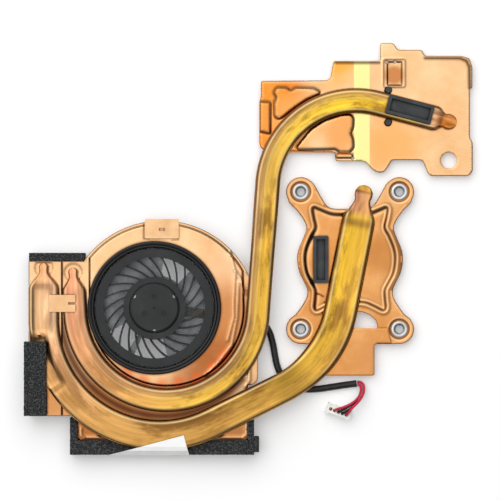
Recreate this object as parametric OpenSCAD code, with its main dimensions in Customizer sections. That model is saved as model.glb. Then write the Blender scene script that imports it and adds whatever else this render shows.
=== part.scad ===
// Cooling assembly of a thin computer: a radial fan in a copper housing with two
// finned exhausts, and two flattened heat pipes that run to a processor plate
// and a graphics plate. Millimetres. X runs to the right, Y to the front edge
// and Z up. The origin is the centre of the processor contact face.

/* [Layout] */
// Distance of the fan axis to the left of the processor centre
fan_left = 70.6; // [66:0.1:76]
// Distance of the fan axis behind the processor centre
fan_behind = 17.0; // [13:0.1:20]

/* [Housing] */
// Height of the shelf that carries the heat pipes
housing_h = 8.0; // [7.2:0.1:10]
// Thickness of the copper sheet of the covers
sheet_t = 0.8; // [0.6:0.05:1]
// Thickness of the steel base plate
base_t = 0.8; // [0.6:0.05:1]
// Rise of the cover round the inlet above the shelf
dome_rise = 0.8; // [0.5:0.1:1.2]
// Outer radius of the scroll round the impeller
scroll_r = 34.6; // [33:0.1:36]
// Scroll centre to the right of the fan axis
scroll_right = 2.7; // [1:0.1:3.5]
// Scroll centre behind the fan axis
scroll_behind = 3.2; // [2:0.1:4]
// Fan axis to the left exhaust face
left_reach = 45.3; // [44:0.1:50]
// Fan axis to the front edge of the left exhaust box
front_reach = 16.8; // [14:0.1:18]
// Fan axis to the back edge of the left exhaust box
left_box_back = 39.0; // [36:0.1:42]
// Depth of the left exhaust box along the air stream
exhaust_d = 12.0; // [10:0.1:14]
// Fan axis to the rear exhaust face
rear_reach = 47.6; // [46:0.1:52]
// Fan axis to the left end of the rear exhaust box
rear_box_left = 27.5; // [25:0.1:29]
// Fan axis to the right end of the rear exhaust box
rear_box_right = 33.7; // [30:0.1:35]
// Fan axis to the back of the right shoulder
shoulder_back = 27.8; // [24:0.1:30]
// Corner radius of the right shoulder
shoulder_r = 3.0; // [1:0.1:4]
// Height of the lip that turns down over each exhaust
lip_h = 1.5; // [1:0.1:2.5]
// Gap between the two covers along their seam
seam_gap = 0.3; // [0.2:0.05:0.6]
// Width of the notch that lets the fan cable out
cable_notch_w = 4.4; // [3.5:0.1:6]

/* [Base plate] */
// Inner radius of the air windows under the impeller
window_in_r = 11.8; // [11:0.1:13]
// Outer radius of the air windows under the impeller
window_out_r = 18.6; // [17:0.1:20]

/* [Inlet ring] */
// Inner radius of the inlet ring
inlet_r = 21.6; // [21.5:0.05:22]
// Width of the inlet ring's flange
inlet_w = 2.4; // [2:0.1:2.4]
// Height of the inlet ring above the cover
inlet_h = 1.4; // [1:0.1:2]
// Width of the spigot that drops into the cover
spigot_w = 1.6; // [1:0.1:1.8]

/* [Impeller] */
// Number of blades
blade_count = 25; // [17:1:31]
// Outer radius of the impeller
impeller_r = 21.2; // [20.5:0.05:21.2]
// Width of the ring that ties the blade tips
tie_ring_w = 3.0; // [2:0.1:4]
// Thickness of the ring and of the hub's collar
tie_ring_t = 0.8; // [0.5:0.1:1.2]
// Outer radius of the hub
hub_r = 9.1; // [8.9:0.1:10]
// Radius of the flat collar round the hub
collar_r = 11.2; // [10.5:0.1:12]
// Wall of the hub
hub_t = 0.8; // [0.6:0.05:1]
// Thickness of a blade
blade_t = 0.5; // [0.35:0.05:0.8]
// Radius to which each blade is bent
blade_bend_r = 23; // [21:0.5:26]
// Angle between blade and radius at mid span
blade_lean = 39; // [34:1:42]
// Running gap between base plate and blades
blade_gap = 1.5; // [1:0.1:1.5]
// Height of the hub's top above the resting plane
hub_top = 9.9; // [9.6:0.1:10.2]
// Radius of the three gate dimples on the hub
dimple_r = 0.9; // [0.5:0.1:1.2]
// Distance of the gate dimples from the axis
dimple_reach = 4.0; // [3:0.1:5]

/* [Motor] */
// Radius of the shaft
shaft_r = 1.0; // [0.8:0.05:1.2]
// Radial running clearance of the shaft
shaft_play = 0.03; // [0.01:0.01:0.1]
// Outer radius of the sleeve bearing
bearing_r = 2.4; // [2.2:0.05:2.5]
// Wall of the brass bearing holder
holder_t = 0.6; // [0.5:0.05:0.7]
// Thickness of the steel rotor cup
cup_t = 0.6; // [0.4:0.05:0.6]
// Radial thickness of the ring magnet
magnet_t = 1.0; // [0.8:0.05:1]
// Air gap between magnet and poles
air_gap = 0.35; // [0.3:0.05:0.6]
// Number of stator poles
pole_count = 6; // [4:2:8]
// Thickness of the stator's stack
stack_t = 3.0; // [2:0.1:3.4]
// Width of a pole's neck
neck_w = 1.3; // [1:0.1:1.5]
// Depth of the winding round a neck
winding_t = 0.8; // [0.4:0.1:0.9]
// Thickness of the motor board
board_t = 0.5; // [0.4:0.05:0.6]

/* [Fins] */
// Pitch of the fins
fin_pitch = 1.45; // [1.2:0.05:2]
// Thickness of a fin
fin_t = 0.25; // [0.2:0.05:0.4]

/* [Graphics heat pipe] */
// Width of the flattened pipe
gpu_pipe_w = 8.6; // [8:0.1:8.6]
// Width at its pressed end
gpu_pipe_end_w = 9.0; // [8.6:0.1:9.4]
// Thickness of both flattened pipes
pipe_t = 3.0; // [2.5:0.1:3.5]
// Bend radius round the inlet
gpu_bend_r = 32.9; // [32.9:0.1:34]
// Bend centre to the right of the fan axis
gpu_bend_right = 4.4; // [3.9:0.1:4.4]
// Bend centre behind the fan axis
gpu_bend_behind = 0.3; // [0:0.1:1]
// Straight length on the left exhaust
gpu_tail = 16.5; // [15:0.1:18]
// Straight length from the fan to the graphics plate
gpu_run = 48.2; // [46:0.1:52]
// Radius of the bend on the graphics plate
gpu_turn_r = 31.9; // [30:0.1:34]
// Straight length after that bend
gpu_end = 29.3; // [27:0.1:32]
// Radius of the sealed knob on the graphics plate
gpu_knob_r = 2.9; // [2.4:0.1:3.2]

/* [Processor heat pipe] */
// Width of the pipe on the exhausts
cpu_pipe_w = 11.0; // [10:0.1:11.2]
// Width of the pipe on the processor plate
cpu_pipe_end_w = 12.2; // [11:0.1:12.4]
// Bend radius round the graphics pipe
cpu_bend_r = 41.8; // [41.6:0.1:43]
// Bend centre to the right of the fan axis
cpu_bend_right = 2.0; // [1.5:0.1:2.4]
// Bend centre behind the fan axis
cpu_bend_behind = 4.0; // [3.8:0.1:5]
// Straight length on the left exhaust
cpu_tail = 20.2; // [18:0.1:22]
// Straight length from the fan to the second bend
cpu_run = 28.8; // [27:0.1:30]
// Radius of the second bend
cpu_turn_r = 38.5; // [37:0.1:40]
// Straight length over the processor plate
cpu_end = 46.7; // [44:0.1:48]
// Radius of the sealed knob on the processor plate
cpu_knob_r = 3.35; // [2.8:0.05:3.6]
// Radius of the sealed knobs on the left exhaust
tail_knob_r = 1.8; // [1.4:0.1:2.2]

/* [Processor plate] */
// Screw spacing from left to right
screw_dx = 35.64; // [34:0.01:38]
// Screw spacing from front to back
screw_dy = 49.68; // [48:0.01:52]
// Radius of the plate's ends round the screws
ear_r = 5.3; // [4.8:0.1:5.6]
// Thickness of the processor plate
cpu_plate_t = 0.8; // [0.6:0.05:1]
// Depth to which the middle of the plate is pressed down
panel_d = 0.6; // [0.3:0.05:0.7]
// Thickness of the contact block under the plate
cpu_block_t = 2.2; // [1.5:0.1:2.6]
// Side of the contact block
cpu_block_w = 26; // [20:0.5:28]
// Bore radius of a screw sleeve
sleeve_bore_r = 1.35; // [1.1:0.05:1.5]
// Body radius of a screw sleeve
sleeve_body_r = 2.2; // [2:0.05:2.4]
// Head radius of a screw sleeve
sleeve_head_r = 3.0; // [2.8:0.05:3.2]
// Height of a sleeve's head above the plate
sleeve_head_h = 0.9; // [0.5:0.1:1.2]
// Radius of the dish round a sleeve
dish_r = 3.9; // [3.6:0.05:4.2]
// Thickness of the chipset plate
tail_plate_t = 0.5; // [0.4:0.05:0.6]

/* [Graphics plate] */
// Width of the graphics plate
gpu_plate_w = 77.2; // [75:0.1:80]
// Depth of the graphics plate
gpu_plate_d = 48.1; // [46:0.1:50]
// Left edge of the graphics plate from the processor centre
gpu_plate_left = 32.8; // [31:0.1:34]
// Back edge of the graphics plate in front of the processor centre
gpu_plate_back = 30.6; // [29.5:0.1:31.5]
// Thickness of the graphics plate
gpu_plate_t = 0.8; // [0.6:0.05:1]
// Rise of the pressed pads
pad_rise = 0.5; // [0.3:0.05:0.8]
// Radius of the plate's screw hole
gpu_hole_r = 2.9; // [2:0.05:3.2]
// Side of the graphics contact block
gpu_block_w = 24; // [20:0.5:26]

/* [Rubber and foam] */
// Length of the rubber block on the graphics pipe
rubber_gpu_l = 16.7; // [14:0.1:17.5]
// Width of the rubber block on the graphics pipe
rubber_gpu_w = 6.7; // [5:0.1:7]
// Length of the rubber block on the processor plate
rubber_cpu_l = 16.9; // [14:0.1:18]
// Width of the rubber block on the processor plate
rubber_cpu_w = 5.4; // [4:0.1:5.5]
// Height of the rubber blocks
rubber_h = 2.4; // [1.5:0.1:3]
// Depth of the hollow in a rubber block
rubber_hollow_d = 1.0; // [0.5:0.1:1.4]
// Rim left round that hollow
rubber_rim = 1.1; // [0.8:0.1:1.4]
// Thickness of the foam strip on the front wall
foam_front_t = 3.0; // [2:0.1:4]
// Height of the left foam above the shelf
foam_left_h = 3.9; // [3.5:0.1:5]
// Width of the left foam
foam_left_w = 8.1; // [7.5:0.1:8.2]
// Depth of the foam along the rear exhaust
foam_rear_d = 5.4; // [4:0.1:7]
// Height of the foam band over the rear exhaust
foam_rear_h = 2.6; // [2:0.1:3]
// Thickness of the foam on the sides of the rear exhaust
foam_side_t = 3.0; // [2:0.1:4]

/* [Cable] */
// Diameter of the cable's sleeve
cable_d = 2.5; // [2:0.1:3]
// Diameter of a wire
wire_d = 0.9; // [0.7:0.05:1]
// Number of places in the connector
plug_ways = 5; // [5:1:6]
// Pitch of the connector
plug_pitch = 1.5; // [1.4:0.05:1.55]
// Depth of the connector from front to back
plug_d = 3.8; // [3.4:0.1:4.4]
// Height of the connector as it stands
plug_h = 4.4; // [4:0.1:4.6]
// Turn of the connector as seen from above
plug_turn = -20.7; // [-24:0.1:-16]

/* [Label] */
// Thickness of the paper label
label_t = 0.15; // [0.1:0.05:0.3]
// Tilt of the label as seen from above
label_tilt = 15; // [10:1:20]
// Length of the label's front edge
label_l = 30; // [24:0.5:34]

/* [Hidden] */
$fn = 64;
// One overrun for every cut
overrun = 1;
// Gap between pieces that are pressed or soldered into each other
fit_gap = 0.02;
// Gap between a soft piece and what it lies against
soft_gap = 0.1;

// Heights, from the resting plane up
plate_z = cpu_block_t;
panel_top = plate_z + cpu_plate_t;
rim_z = plate_z + panel_d;
rim_top = rim_z + cpu_plate_t;
tail_plate_top = rim_top + tail_plate_t;
gpu_top = plate_z + gpu_plate_t;
ceiling = housing_h - sheet_t;
dome_top = housing_h + dome_rise;
pipe_top = housing_h + pipe_t;
// Places measured from the fan axis, left and back negative
seam_x = exhaust_d - left_reach;
right_x = scroll_right + scroll_r;

// Moves its children to the fan axis
module at_fan() {
  translate([-fan_left, -fan_behind, 0]) children();
}

// Rounds the corners of a flat shape, inside ones too
module soften(r) {
  offset(r = -r, $fn = 32) offset(r = 2 * r, $fn = 32) offset(r = -r, $fn = 32) children();
}

// A box given by its lowest and highest corner
module span(low, high) {
  translate(low) cube(high - low);
}

// A flat rectangle given by two corners
module area(low, high) {
  translate(low) square(high - low);
}

// A flat piece raised from one height to another
module raised(low, high) {
  translate([0, 0, low]) linear_extrude(high - low) children();
}

// A closed smooth curve through points, with steps between each pair
function smooth_loop(points, steps) = [
  for (i = [0 : len(points) - 1], k = [0 : steps - 1])
    let (n = len(points), t = k / steps,
         a = points[(i + n - 1) % n], b = points[i],
         c = points[(i + 1) % n], d = points[(i + 2) % n])
    0.5 * (2 * b + (c - a) * t + (2 * a - 5 * b + 4 * c - d) * t * t
           + (3 * b - a - 3 * c + d) * t * t * t)
];

// Half an outline, given from front to back on the right, made whole
function both_sides(half) = concat(
  half, [for (i = [len(half) - 1 : -1 : 0]) if (half[i][0] != 0) [-half[i][0], half[i][1]]]
);

// A share table made into places, from an origin and a size
function placed(shares, origin, size) = [
  for (share = shares) [origin[0] + share[0] * size[0], origin[1] + share[1] * size[1]]
];

/* Housing */

// The housing seen from above, with its walls moved inwards
module housing_shape(inset = 0) {
  translate([scroll_right, -scroll_behind]) circle(scroll_r - inset, $fn = 120);
  area([inset - left_reach, inset - left_box_back], [0, front_reach - inset]);
  area([inset - rear_box_left, inset - rear_reach], [rear_box_right - inset, 0]);
  corner = [right_x - shoulder_r, shoulder_r - shoulder_back];
  translate(corner) circle(shoulder_r - inset);
  area([0, inset - shoulder_back], [corner[0], 0]);
  area([0, corner[1]], [right_x - inset, -scroll_behind]);
}

// The part of that shape to the right of the seam
module right_of_seam(gap = 0) {
  intersection() {
    children();
    area([seam_x + gap, -2 * rear_reach], [2 * left_reach, 2 * rear_reach]);
  }
}

// The raised top round the inlet, which the graphics pipe runs round
dome_side_gap = 0.5;
module dome_shape(inset = 0) {
  inner_r = gpu_bend_r - gpu_pipe_w / 2 - dome_side_gap - inset;
  intersection() {
    translate([scroll_right, -scroll_behind]) circle(scroll_r - sheet_t - inset, $fn = 120);
    translate([gpu_bend_right, -gpu_bend_behind]) {
      circle(inner_r, $fn = 120);
      area([-inner_r, 0], [inner_r, 2 * scroll_r]);
    }
  }
}

// Air windows in the base plate, as start and end angles
window_angles = [[46, 80], [208, 238], [246, 284]];
rim_bead_w = 0.9;

module base_plate() {
  color("darkgray") at_fan() difference() {
    raised(0, base_t) housing_shape();
    for (window = window_angles)
      rotate([0, 0, window[0]]) translate([0, 0, -overrun])
        rotate_extrude(angle = window[1] - window[0], $fn = 96)
          translate([window_in_r, 0]) square([window_out_r - window_in_r, base_t + 2 * overrun]);
    translate([0, 0, -overrun]) cylinder(r = bearing_r + holder_t + fit_gap, h = base_t + 2 * overrun);
  }
}

// Cable notch in the right wall
notch_y = -5.1;
notch_h = cable_d + 4 * soft_gap;

module shroud() {
  color("peachpuff") at_fan() difference() {
    union() {
      raised(base_t, housing_h) right_of_seam(seam_gap / 2) housing_shape();
      raised(housing_h, dome_top) dome_shape();
    }
    // Air space, open to both exhausts
    raised(base_t - overrun, ceiling) {
      right_of_seam(seam_gap / 2) housing_shape(sheet_t);
      area([seam_x - overrun, sheet_t - left_box_back], [0, front_reach - sheet_t]);
      area([sheet_t - rear_box_left, -rear_reach + sheet_t], [rear_box_right - sheet_t, 0]);
    }
    raised(base_t - overrun, ceiling - lip_h)
      area([sheet_t - rear_box_left, -rear_reach - overrun], [rear_box_right - sheet_t, 0]);
    raised(ceiling - overrun, dome_top - sheet_t) dome_shape(sheet_t);
    // Inlet, seat of the inlet ring
    translate([0, 0, ceiling - overrun])
      cylinder(r = inlet_r + spigot_w + fit_gap, h = sheet_t + dome_rise + 2 * overrun, $fn = 120);
    span([0, notch_y - cable_notch_w / 2, base_t - overrun],
         [right_x + overrun, notch_y + cable_notch_w / 2, base_t + notch_h]);
    tip_dish(gpu_start);
  }
}

// Shallow dish pressed round the sealed tip of each pipe
tip_dish_r = 3.6;
tip_dish_d = 0.2;
module tip_dish(pose) {
  at = ahead(pose, tail_knob_r);
  translate([at[0] + fan_left, at[1] + fan_behind, housing_h - tip_dish_d])
    cylinder(r = tip_dish_r, h = overrun);
}

module exhaust_cover() {
  outer_x = -left_reach;
  inner_x = seam_x - seam_gap / 2;
  color("peachpuff") at_fan() difference() {
    span([outer_x, -left_box_back, base_t], [inner_x, front_reach, housing_h]);
    span([outer_x + sheet_t, sheet_t - left_box_back, base_t - overrun],
         [inner_x + overrun, front_reach - sheet_t, ceiling]);
    span([outer_x - overrun, sheet_t - left_box_back, base_t - overrun],
         [inner_x, front_reach - sheet_t, ceiling - lip_h]);
    tip_dish(cpu_start);
  }
}

// Latch plate over the front rim
clip_w = 12.2;
clip_l = 6.4;
clip_t = 0.6;
clip_slot = [2.2, 1.1];

module shroud_clip() {
  front = scroll_r - scroll_behind;
  color("peachpuff") at_fan() translate([scroll_right, front, 0]) difference() {
    span([-clip_w / 2, -clip_l, dome_top - clip_t - fit_gap], [clip_w / 2, clip_t, dome_top + clip_t]);
    span([-clip_w / 2 - overrun, -clip_l - overrun, dome_top - 2 * clip_t],
         [clip_w / 2 + overrun, fit_gap, dome_top]);
    translate([0, -clip_l / 2, dome_top]) cube([clip_slot[0], clip_slot[1], 2 * clip_t + overrun], center = true);
  }
}

/* Fan */

module inlet_ring() {
  bead = inlet_h / 4;
  outer = inlet_r + inlet_w;
  seat = dome_top;
  top = dome_top + inlet_h;
  color("black") at_fan() rotate_extrude($fn = 120) polygon([
    [inlet_r, dome_top - sheet_t], [inlet_r + spigot_w, dome_top - sheet_t],
    [inlet_r + spigot_w, seat], [outer, seat], [outer, top - 2 * bead],
    [outer - bead, top - bead], [outer - 2 * bead, top - bead / 2],
    [outer - 3 * bead, top - bead], [outer - 3 * bead, top - 2 * bead],
    [outer - 4 * bead, top - 2 * bead], [outer - 4 * bead, top],
    [inlet_r + 2 * bead, top], [inlet_r, top - bead],
  ]);
}

// Angle round its bend centre at which a blade crosses a radius of the fan
blade_mid_r = (collar_r + impeller_r - tie_ring_w) / 2;
blade_centre = [
  blade_mid_r - blade_bend_r * sin(blade_lean), blade_bend_r * cos(blade_lean)
];
blade_centre_r = norm(blade_centre);
blade_centre_angle = atan2(blade_centre[1], blade_centre[0]);
function blade_angle(r) = blade_centre_angle
  - acos((r * r - blade_centre_r * blade_centre_r - blade_bend_r * blade_bend_r)
         / (2 * blade_centre_r * blade_bend_r));
blade_low = base_t + blade_gap;
ring_top = dome_top + inlet_h / 3;
blade_top = ring_top - tie_ring_t / 2;
blade_root_r = hub_r - hub_t / 2;
blade_tip_r = impeller_r - blade_t;
hub_bevel = 0.9;
peg_r = 0.7;
peg_d = 0.5;

module blade() {
  start = blade_angle(blade_root_r);
  translate([blade_centre[0], blade_centre[1], blade_low]) rotate([0, 0, start])
    rotate_extrude(angle = blade_angle(blade_tip_r) - start, $fn = 120)
      translate([blade_bend_r - blade_t / 2, 0]) square([blade_t, blade_top - blade_low]);
}

module hub_profile() {
  inner = hub_r - hub_t;
  polygon([
    [0, hub_top], [hub_r - hub_bevel, hub_top], [hub_r - hub_bevel / 3, hub_top - hub_bevel / 3],
    [hub_r, hub_top - hub_bevel], [hub_r, ring_top], [collar_r, ring_top],
    [collar_r, ring_top - tie_ring_t], [hub_r, ring_top - tie_ring_t], [hub_r, blade_low],
    [inner, blade_low], [inner, hub_top - hub_t], [0, hub_top - hub_t],
  ]);
}

module impeller() {
  color("dimgray") at_fan() difference() {
    union() {
      rotate_extrude($fn = 96) hub_profile();
      rotate_extrude($fn = 120)
        translate([impeller_r - tie_ring_w, ring_top - tie_ring_t]) square([tie_ring_w, tie_ring_t]);
      for (i = [0 : blade_count - 1]) rotate([0, 0, 360 * i / blade_count]) blade();
    }
    for (i = [0 : 2]) {
      rotate([0, 0, 90 + 120 * i]) translate([dimple_reach, 0, hub_top - hub_t / 2])
        cylinder(r = dimple_r, h = hub_t);
      rotate([0, 0, 30 + 120 * i]) translate([hub_r - peg_r, 0, hub_top - hub_bevel])
        cylinder(r = peg_r, h = hub_t + hub_bevel);
    }
    translate([0, 0, hub_top - hub_t / 2]) cylinder(r = dimple_r / 2, h = hub_t);
  }
}

cup_out_r = hub_r - hub_t - 2 * fit_gap;
cup_in_r = cup_out_r - cup_t;
cup_top = hub_top - hub_t - fit_gap;
cup_low = blade_low + hub_t;
collet_r = 2 * shaft_r;
magnet_out_r = cup_in_r - fit_gap;
magnet_in_r = magnet_out_r - magnet_t;
stack_low = cup_low + hub_t;
stack_top = stack_low + stack_t;
holder_top = stack_top + sheet_t;
thrust_top = base_t + board_t;

module rotor_cup() {
  bore = shaft_r + fit_gap;
  color("silver") at_fan() rotate_extrude($fn = 96) polygon([
    [bore, cup_top], [cup_out_r, cup_top], [cup_out_r, cup_low], [cup_in_r, cup_low],
    [cup_in_r, cup_top - cup_t], [collet_r, cup_top - cup_t],
    [collet_r, cup_top - 2 * cup_t], [bore, cup_top - 2 * cup_t],
  ]);
}

module magnet_ring() {
  color("darkslategray") at_fan() translate([0, 0, cup_low]) difference() {
    cylinder(r = magnet_out_r, h = stack_t + 2 * hub_t);
    translate([0, 0, -overrun]) cylinder(r = magnet_in_r, h = stack_t + 2 * hub_t + 2 * overrun);
  }
}

module shaft() {
  color("silver") at_fan() translate([0, 0, thrust_top + soft_gap])
    cylinder(r = shaft_r, h = cup_top - thrust_top - soft_gap);
}

module bearing_holder() {
  color("goldenrod") at_fan() difference() {
    cylinder(r = bearing_r + holder_t, h = holder_top);
    translate([0, 0, base_t]) cylinder(r = bearing_r + fit_gap, h = holder_top);
  }
}

module bearing_sleeve() {
  color("peru") at_fan() translate([0, 0, thrust_top]) difference() {
    cylinder(r = bearing_r, h = holder_top - thrust_top);
    translate([0, 0, -overrun]) cylinder(r = shaft_r + shaft_play, h = holder_top + overrun);
  }
}

module thrust_pad() {
  color("white") at_fan() translate([0, 0, base_t]) cylinder(r = bearing_r, h = board_t);
}

pole_r = magnet_in_r - air_gap;
yoke_r = bearing_r + holder_t + fit_gap;
yoke_t = 0.9;
shoe_t = 0.7;
shoe_share = 0.7;

module stator_core() {
  shoe_angle = shoe_share * 360 / pole_count;
  color("gray") at_fan() translate([0, 0, stack_low]) linear_extrude(stack_t) difference() {
    union() {
      circle(yoke_r + yoke_t);
      for (i = [0 : pole_count - 1]) rotate([0, 0, 360 * i / pole_count]) {
        area([0, -neck_w / 2], [pole_r - shoe_t / 2, neck_w / 2]);
        intersection() {
          difference() {
            circle(pole_r, $fn = 96);
            circle(pole_r - shoe_t, $fn = 96);
          }
          reach = 2 * pole_r;
          polygon([[0, 0], reach * [cos(shoe_angle / 2), sin(shoe_angle / 2)],
                   reach * [cos(shoe_angle / 2), -sin(shoe_angle / 2)]]);
        }
      }
    }
    circle(yoke_r);
  }
}

module stator_coils() {
  inner = yoke_r + yoke_t + fit_gap;
  wide = neck_w / 2 + winding_t;
  outer = sqrt(pow(pole_r - shoe_t, 2) - wide * wide) - 3 * fit_gap;
  color("chocolate") at_fan() for (i = [0 : pole_count - 1])
    rotate([0, 0, 360 * i / pole_count]) difference() {
      span([inner, -wide, stack_low - winding_t], [outer, wide, stack_top + winding_t]);
      span([inner - overrun, -neck_w / 2 - fit_gap, stack_low - fit_gap],
           [outer + overrun, neck_w / 2 + fit_gap, stack_top + fit_gap]);
    }
}

board_tail_w = 3.6;

module motor_board() {
  color("darkgreen") at_fan() raised(base_t, base_t + board_t) difference() {
    union() {
      circle(hub_r - hub_t);
      polygon([[0, board_tail_w / 2], [0, -board_tail_w / 2],
               [right_x, notch_y - board_tail_w / 2], [right_x, notch_y + board_tail_w / 2]]);
    }
    circle(yoke_r);
  }
}

/* Fins */

// A row of folded fins: walls joined by their tabs, along X, open along Y
module fin_row(length, depth, height) {
  count = floor((length - fin_t) / fin_pitch);
  first = (length - count * fin_pitch - fin_t) / 2;
  for (i = [0 : count])
    translate([first + i * fin_pitch, 0, 0]) cube([fin_t, depth, height]);
  span([first, 0, 0], [first + count * fin_pitch + fin_t, depth, fin_t]);
  span([first, 0, height - fin_t], [first + count * fin_pitch + fin_t, depth, height]);
}

module fins_left() {
  length = left_box_back + front_reach - 2 * sheet_t;
  color("sandybrown") at_fan()
    translate([seam_x - seam_gap, sheet_t - left_box_back, base_t]) rotate([0, 0, 90])
      fin_row(length, exhaust_d - sheet_t - seam_gap, ceiling - base_t);
}

module fins_rear() {
  length = rear_box_left + rear_box_right - 2 * sheet_t;
  color("sandybrown") at_fan()
    translate([sheet_t - rear_box_left, sheet_t - rear_reach, base_t])
      fin_row(length, exhaust_d - sheet_t - seam_gap, ceiling - base_t);
}

/* Heat pipes */

function ease(t) = t <= 0 ? 0 : t >= 1 ? 1 : (1 - cos(180 * t)) / 2;
function blend(a, b, t) = a + (b - a) * ease(t);
// A pose is [x, y, heading]
function ahead(pose, d) = [pose[0] + d * cos(pose[2]), pose[1] + d * sin(pose[2]), pose[2]];
function beside(pose, d) = [pose[0] - d * sin(pose[2]), pose[1] + d * cos(pose[2])];
function turned(pose, r, a) = let (c = beside(pose, sign(a) * r), h = pose[2] + a)
  [c[0] + sign(a) * r * sin(h), c[1] - sign(a) * r * cos(h), h];
// Length of a bend table, whose rows are [straight length, radius, turn to the left]
function arc(row) = PI * row[1] * abs(row[2]) / 180;
function path_length(rows, i = 0) = i >= len(rows) ? 0 : rows[i][0] + arc(rows[i]) + path_length(rows, i + 1);
// Pose at a distance along a bend table
function path_pose(rows, pose, s, i = 0) =
  i >= len(rows) || s <= rows[i][0] ? ahead(pose, s)
  : s <= rows[i][0] + arc(rows[i])
    ? turned(ahead(pose, rows[i][0]), rows[i][1], rows[i][2] * (s - rows[i][0]) / arc(rows[i]))
    : path_pose(rows, turned(ahead(pose, rows[i][0]), rows[i][1], rows[i][2]), s - rows[i][0] - arc(rows[i]), i + 1);

// Width of a sealed end: a round knob, a neck, and the flare to full width
neck_share = 0.86;
function tip_shape(d, knob, flare, full, neck) =
  let (reach = knob * (1 + sqrt(1 - neck_share * neck_share)))
  d < reach ? 2 * sqrt(max(0, knob * knob - (d - knob) * (d - knob)))
  : blend(neck, full, (d - reach) / flare);
// Thickness there: the knob is pressed thinner than the pipe
knob_t_share = 0.6;
function tip_thickness(d, knob, flare) =
  d < knob ? pipe_t * knob_t_share * (0.6 + 0.4 * d / knob)
  : blend(pipe_t * knob_t_share, pipe_t, (d - 1.4 * knob) / flare);

// Stations along a pipe: close together at its ends, even between them
tip_shares = [0.1, 0.3, 0.6, 1, 1.4, 1.7, 2.1, 2.6, 3.2];
station_step = 3.6;
function stations(total, knob_a, knob_b) =
  let (from = tip_shares[8] * knob_a, to = total - tip_shares[8] * knob_b,
       count = ceil((to - from) / station_step))
  concat(
    [for (k = [0 : 7]) tip_shares[k] * knob_a],
    [for (i = [0 : count]) from + (to - from) * i / count],
    [for (k = [7 : -1 : 0]) total - tip_shares[k] * knob_b]
  );

// Section across the pipe, anticlockwise as seen along it. The dents lower the
// flat of the top and the whole right edge
edge_steps = [-90, -45, 0, 45, 90];
flat_shares = [0.55, -0.15, -0.6];
function section(w, t, dent) =
  let (r = t / 2, c = w / 2 - r, low = t - dent[1])
  concat(
    [for (a = edge_steps) [c + r * cos(a), min(r + r * sin(a), low)]],
    [for (f = flat_shares) [c * f, t - (f > -0.5 ? max(dent) : dent[0])]],
    [for (a = edge_steps) [-c - r * cos(a), r - r * sin(a)]],
    [for (f = flat_shares) [-c * f, 0]]
  );
section_n = 2 * len(edge_steps) + 2 * len(flat_shares);

// Triangles over a run of rings of n points each, closed at both ends
function skin(n, last) = concat(
  [for (k = [3 : n]) [2, k % n, (k + 1) % n]],
  [for (i = [0 : last - 1], k = [0 : n - 1], half = [0, 1])
    let (a = i * n + k, b = i * n + (k + 1) % n)
    half == 0 ? [a, a + n, b + n] : [a, b + n, b]],
  [for (k = [3 : n]) last * n * [1, 1, 1] + [2, (k + 1) % n, k % n]]
);

// A pipe swept along its poses; each ring is [pose, width, thickness, height, dent]
module swept(rings) {
  points = [for (ring = rings) for (p = section(ring[1], ring[2], ring[4]))
    let (at = beside(ring[0], -p[0])) [at[0], at[1], ring[3] + p[1]]];
  n = section_n;
  last = len(rings) - 1;
  polyhedron(points, skin(n, last), convexity = 10);
}

// Graphics pipe: down the left exhaust, round the inlet, up to the graphics plate
gpu_tail_lean = 3;
gpu_lean = 4.3;
gpu_fall = 14.6;
gpu_rows = [
  [gpu_tail, gpu_bend_r, 180 - gpu_tail_lean - gpu_lean],
  [gpu_run, gpu_turn_r, -(90 - gpu_lean + gpu_fall)],
  [gpu_end, gpu_turn_r, 0],
];
gpu_flare = 3.4;
gpu_tail_flare = 6.0;
gpu_total = path_length(gpu_rows);
gpu_start_heading = gpu_tail_lean - 90;
gpu_bend_start = [
  gpu_bend_right + gpu_bend_r * sin(gpu_start_heading) - fan_left,
  -gpu_bend_behind - gpu_bend_r * cos(gpu_start_heading) - fan_behind, gpu_start_heading
];
gpu_start = ahead(gpu_bend_start, -gpu_tail);
gpu_drop_from = 21;
gpu_drop_to = 46;
gpu_widen_from = 20;
gpu_widen_to = 40;

module heat_pipe_gpu() {
  leg = gpu_rows[0][0] + arc(gpu_rows[0]);
  color("goldenrod") swept([
    for (s = stations(gpu_total, tail_knob_r, gpu_knob_r))
      let (rest = gpu_total - s,
           full = blend(gpu_pipe_w, gpu_pipe_end_w, (s - leg - gpu_widen_from) / (gpu_widen_to - gpu_widen_from)),
           w = min(tip_shape(s, tail_knob_r, gpu_tail_flare, full, 2 * neck_share * tail_knob_r),
                   tip_shape(rest, gpu_knob_r, gpu_flare, full, 2 * neck_share * gpu_knob_r)),
           t = min(tip_thickness(s, tail_knob_r, gpu_tail_flare), tip_thickness(rest, gpu_knob_r, gpu_flare)),
           z = blend(housing_h, gpu_top, (s - leg - gpu_drop_from) / (gpu_drop_to - gpu_drop_from)))
      [path_pose(gpu_rows, gpu_start, s), w, t, z + (pipe_t - t) / 2, [0, 0]]
  ]);
}

// Processor pipe: round the graphics pipe and on to the processor plate
cpu_sweep = 116.4;
cpu_turn = 52.4;
cpu_rows = [
  [cpu_tail, cpu_bend_r, cpu_sweep],
  [cpu_run, cpu_turn_r, cpu_turn],
  [cpu_end, cpu_turn_r, 0],
];
cpu_flare = 8.6;
cpu_tail_flare = 6.5;
cpu_total = path_length(cpu_rows);
cpu_start = [
  cpu_bend_right - cpu_bend_r - fan_left, -cpu_bend_behind - fan_behind + cpu_tail, -90
];
cpu_drop_from = 22;
cpu_drop_to = 43;
cpu_seat_from = 2.2;
cpu_seat_to = 9.5;
cpu_rise_from = 11.5;
cpu_rise_to = 16;
widen_from = 30;
widen_to = 50;
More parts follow.
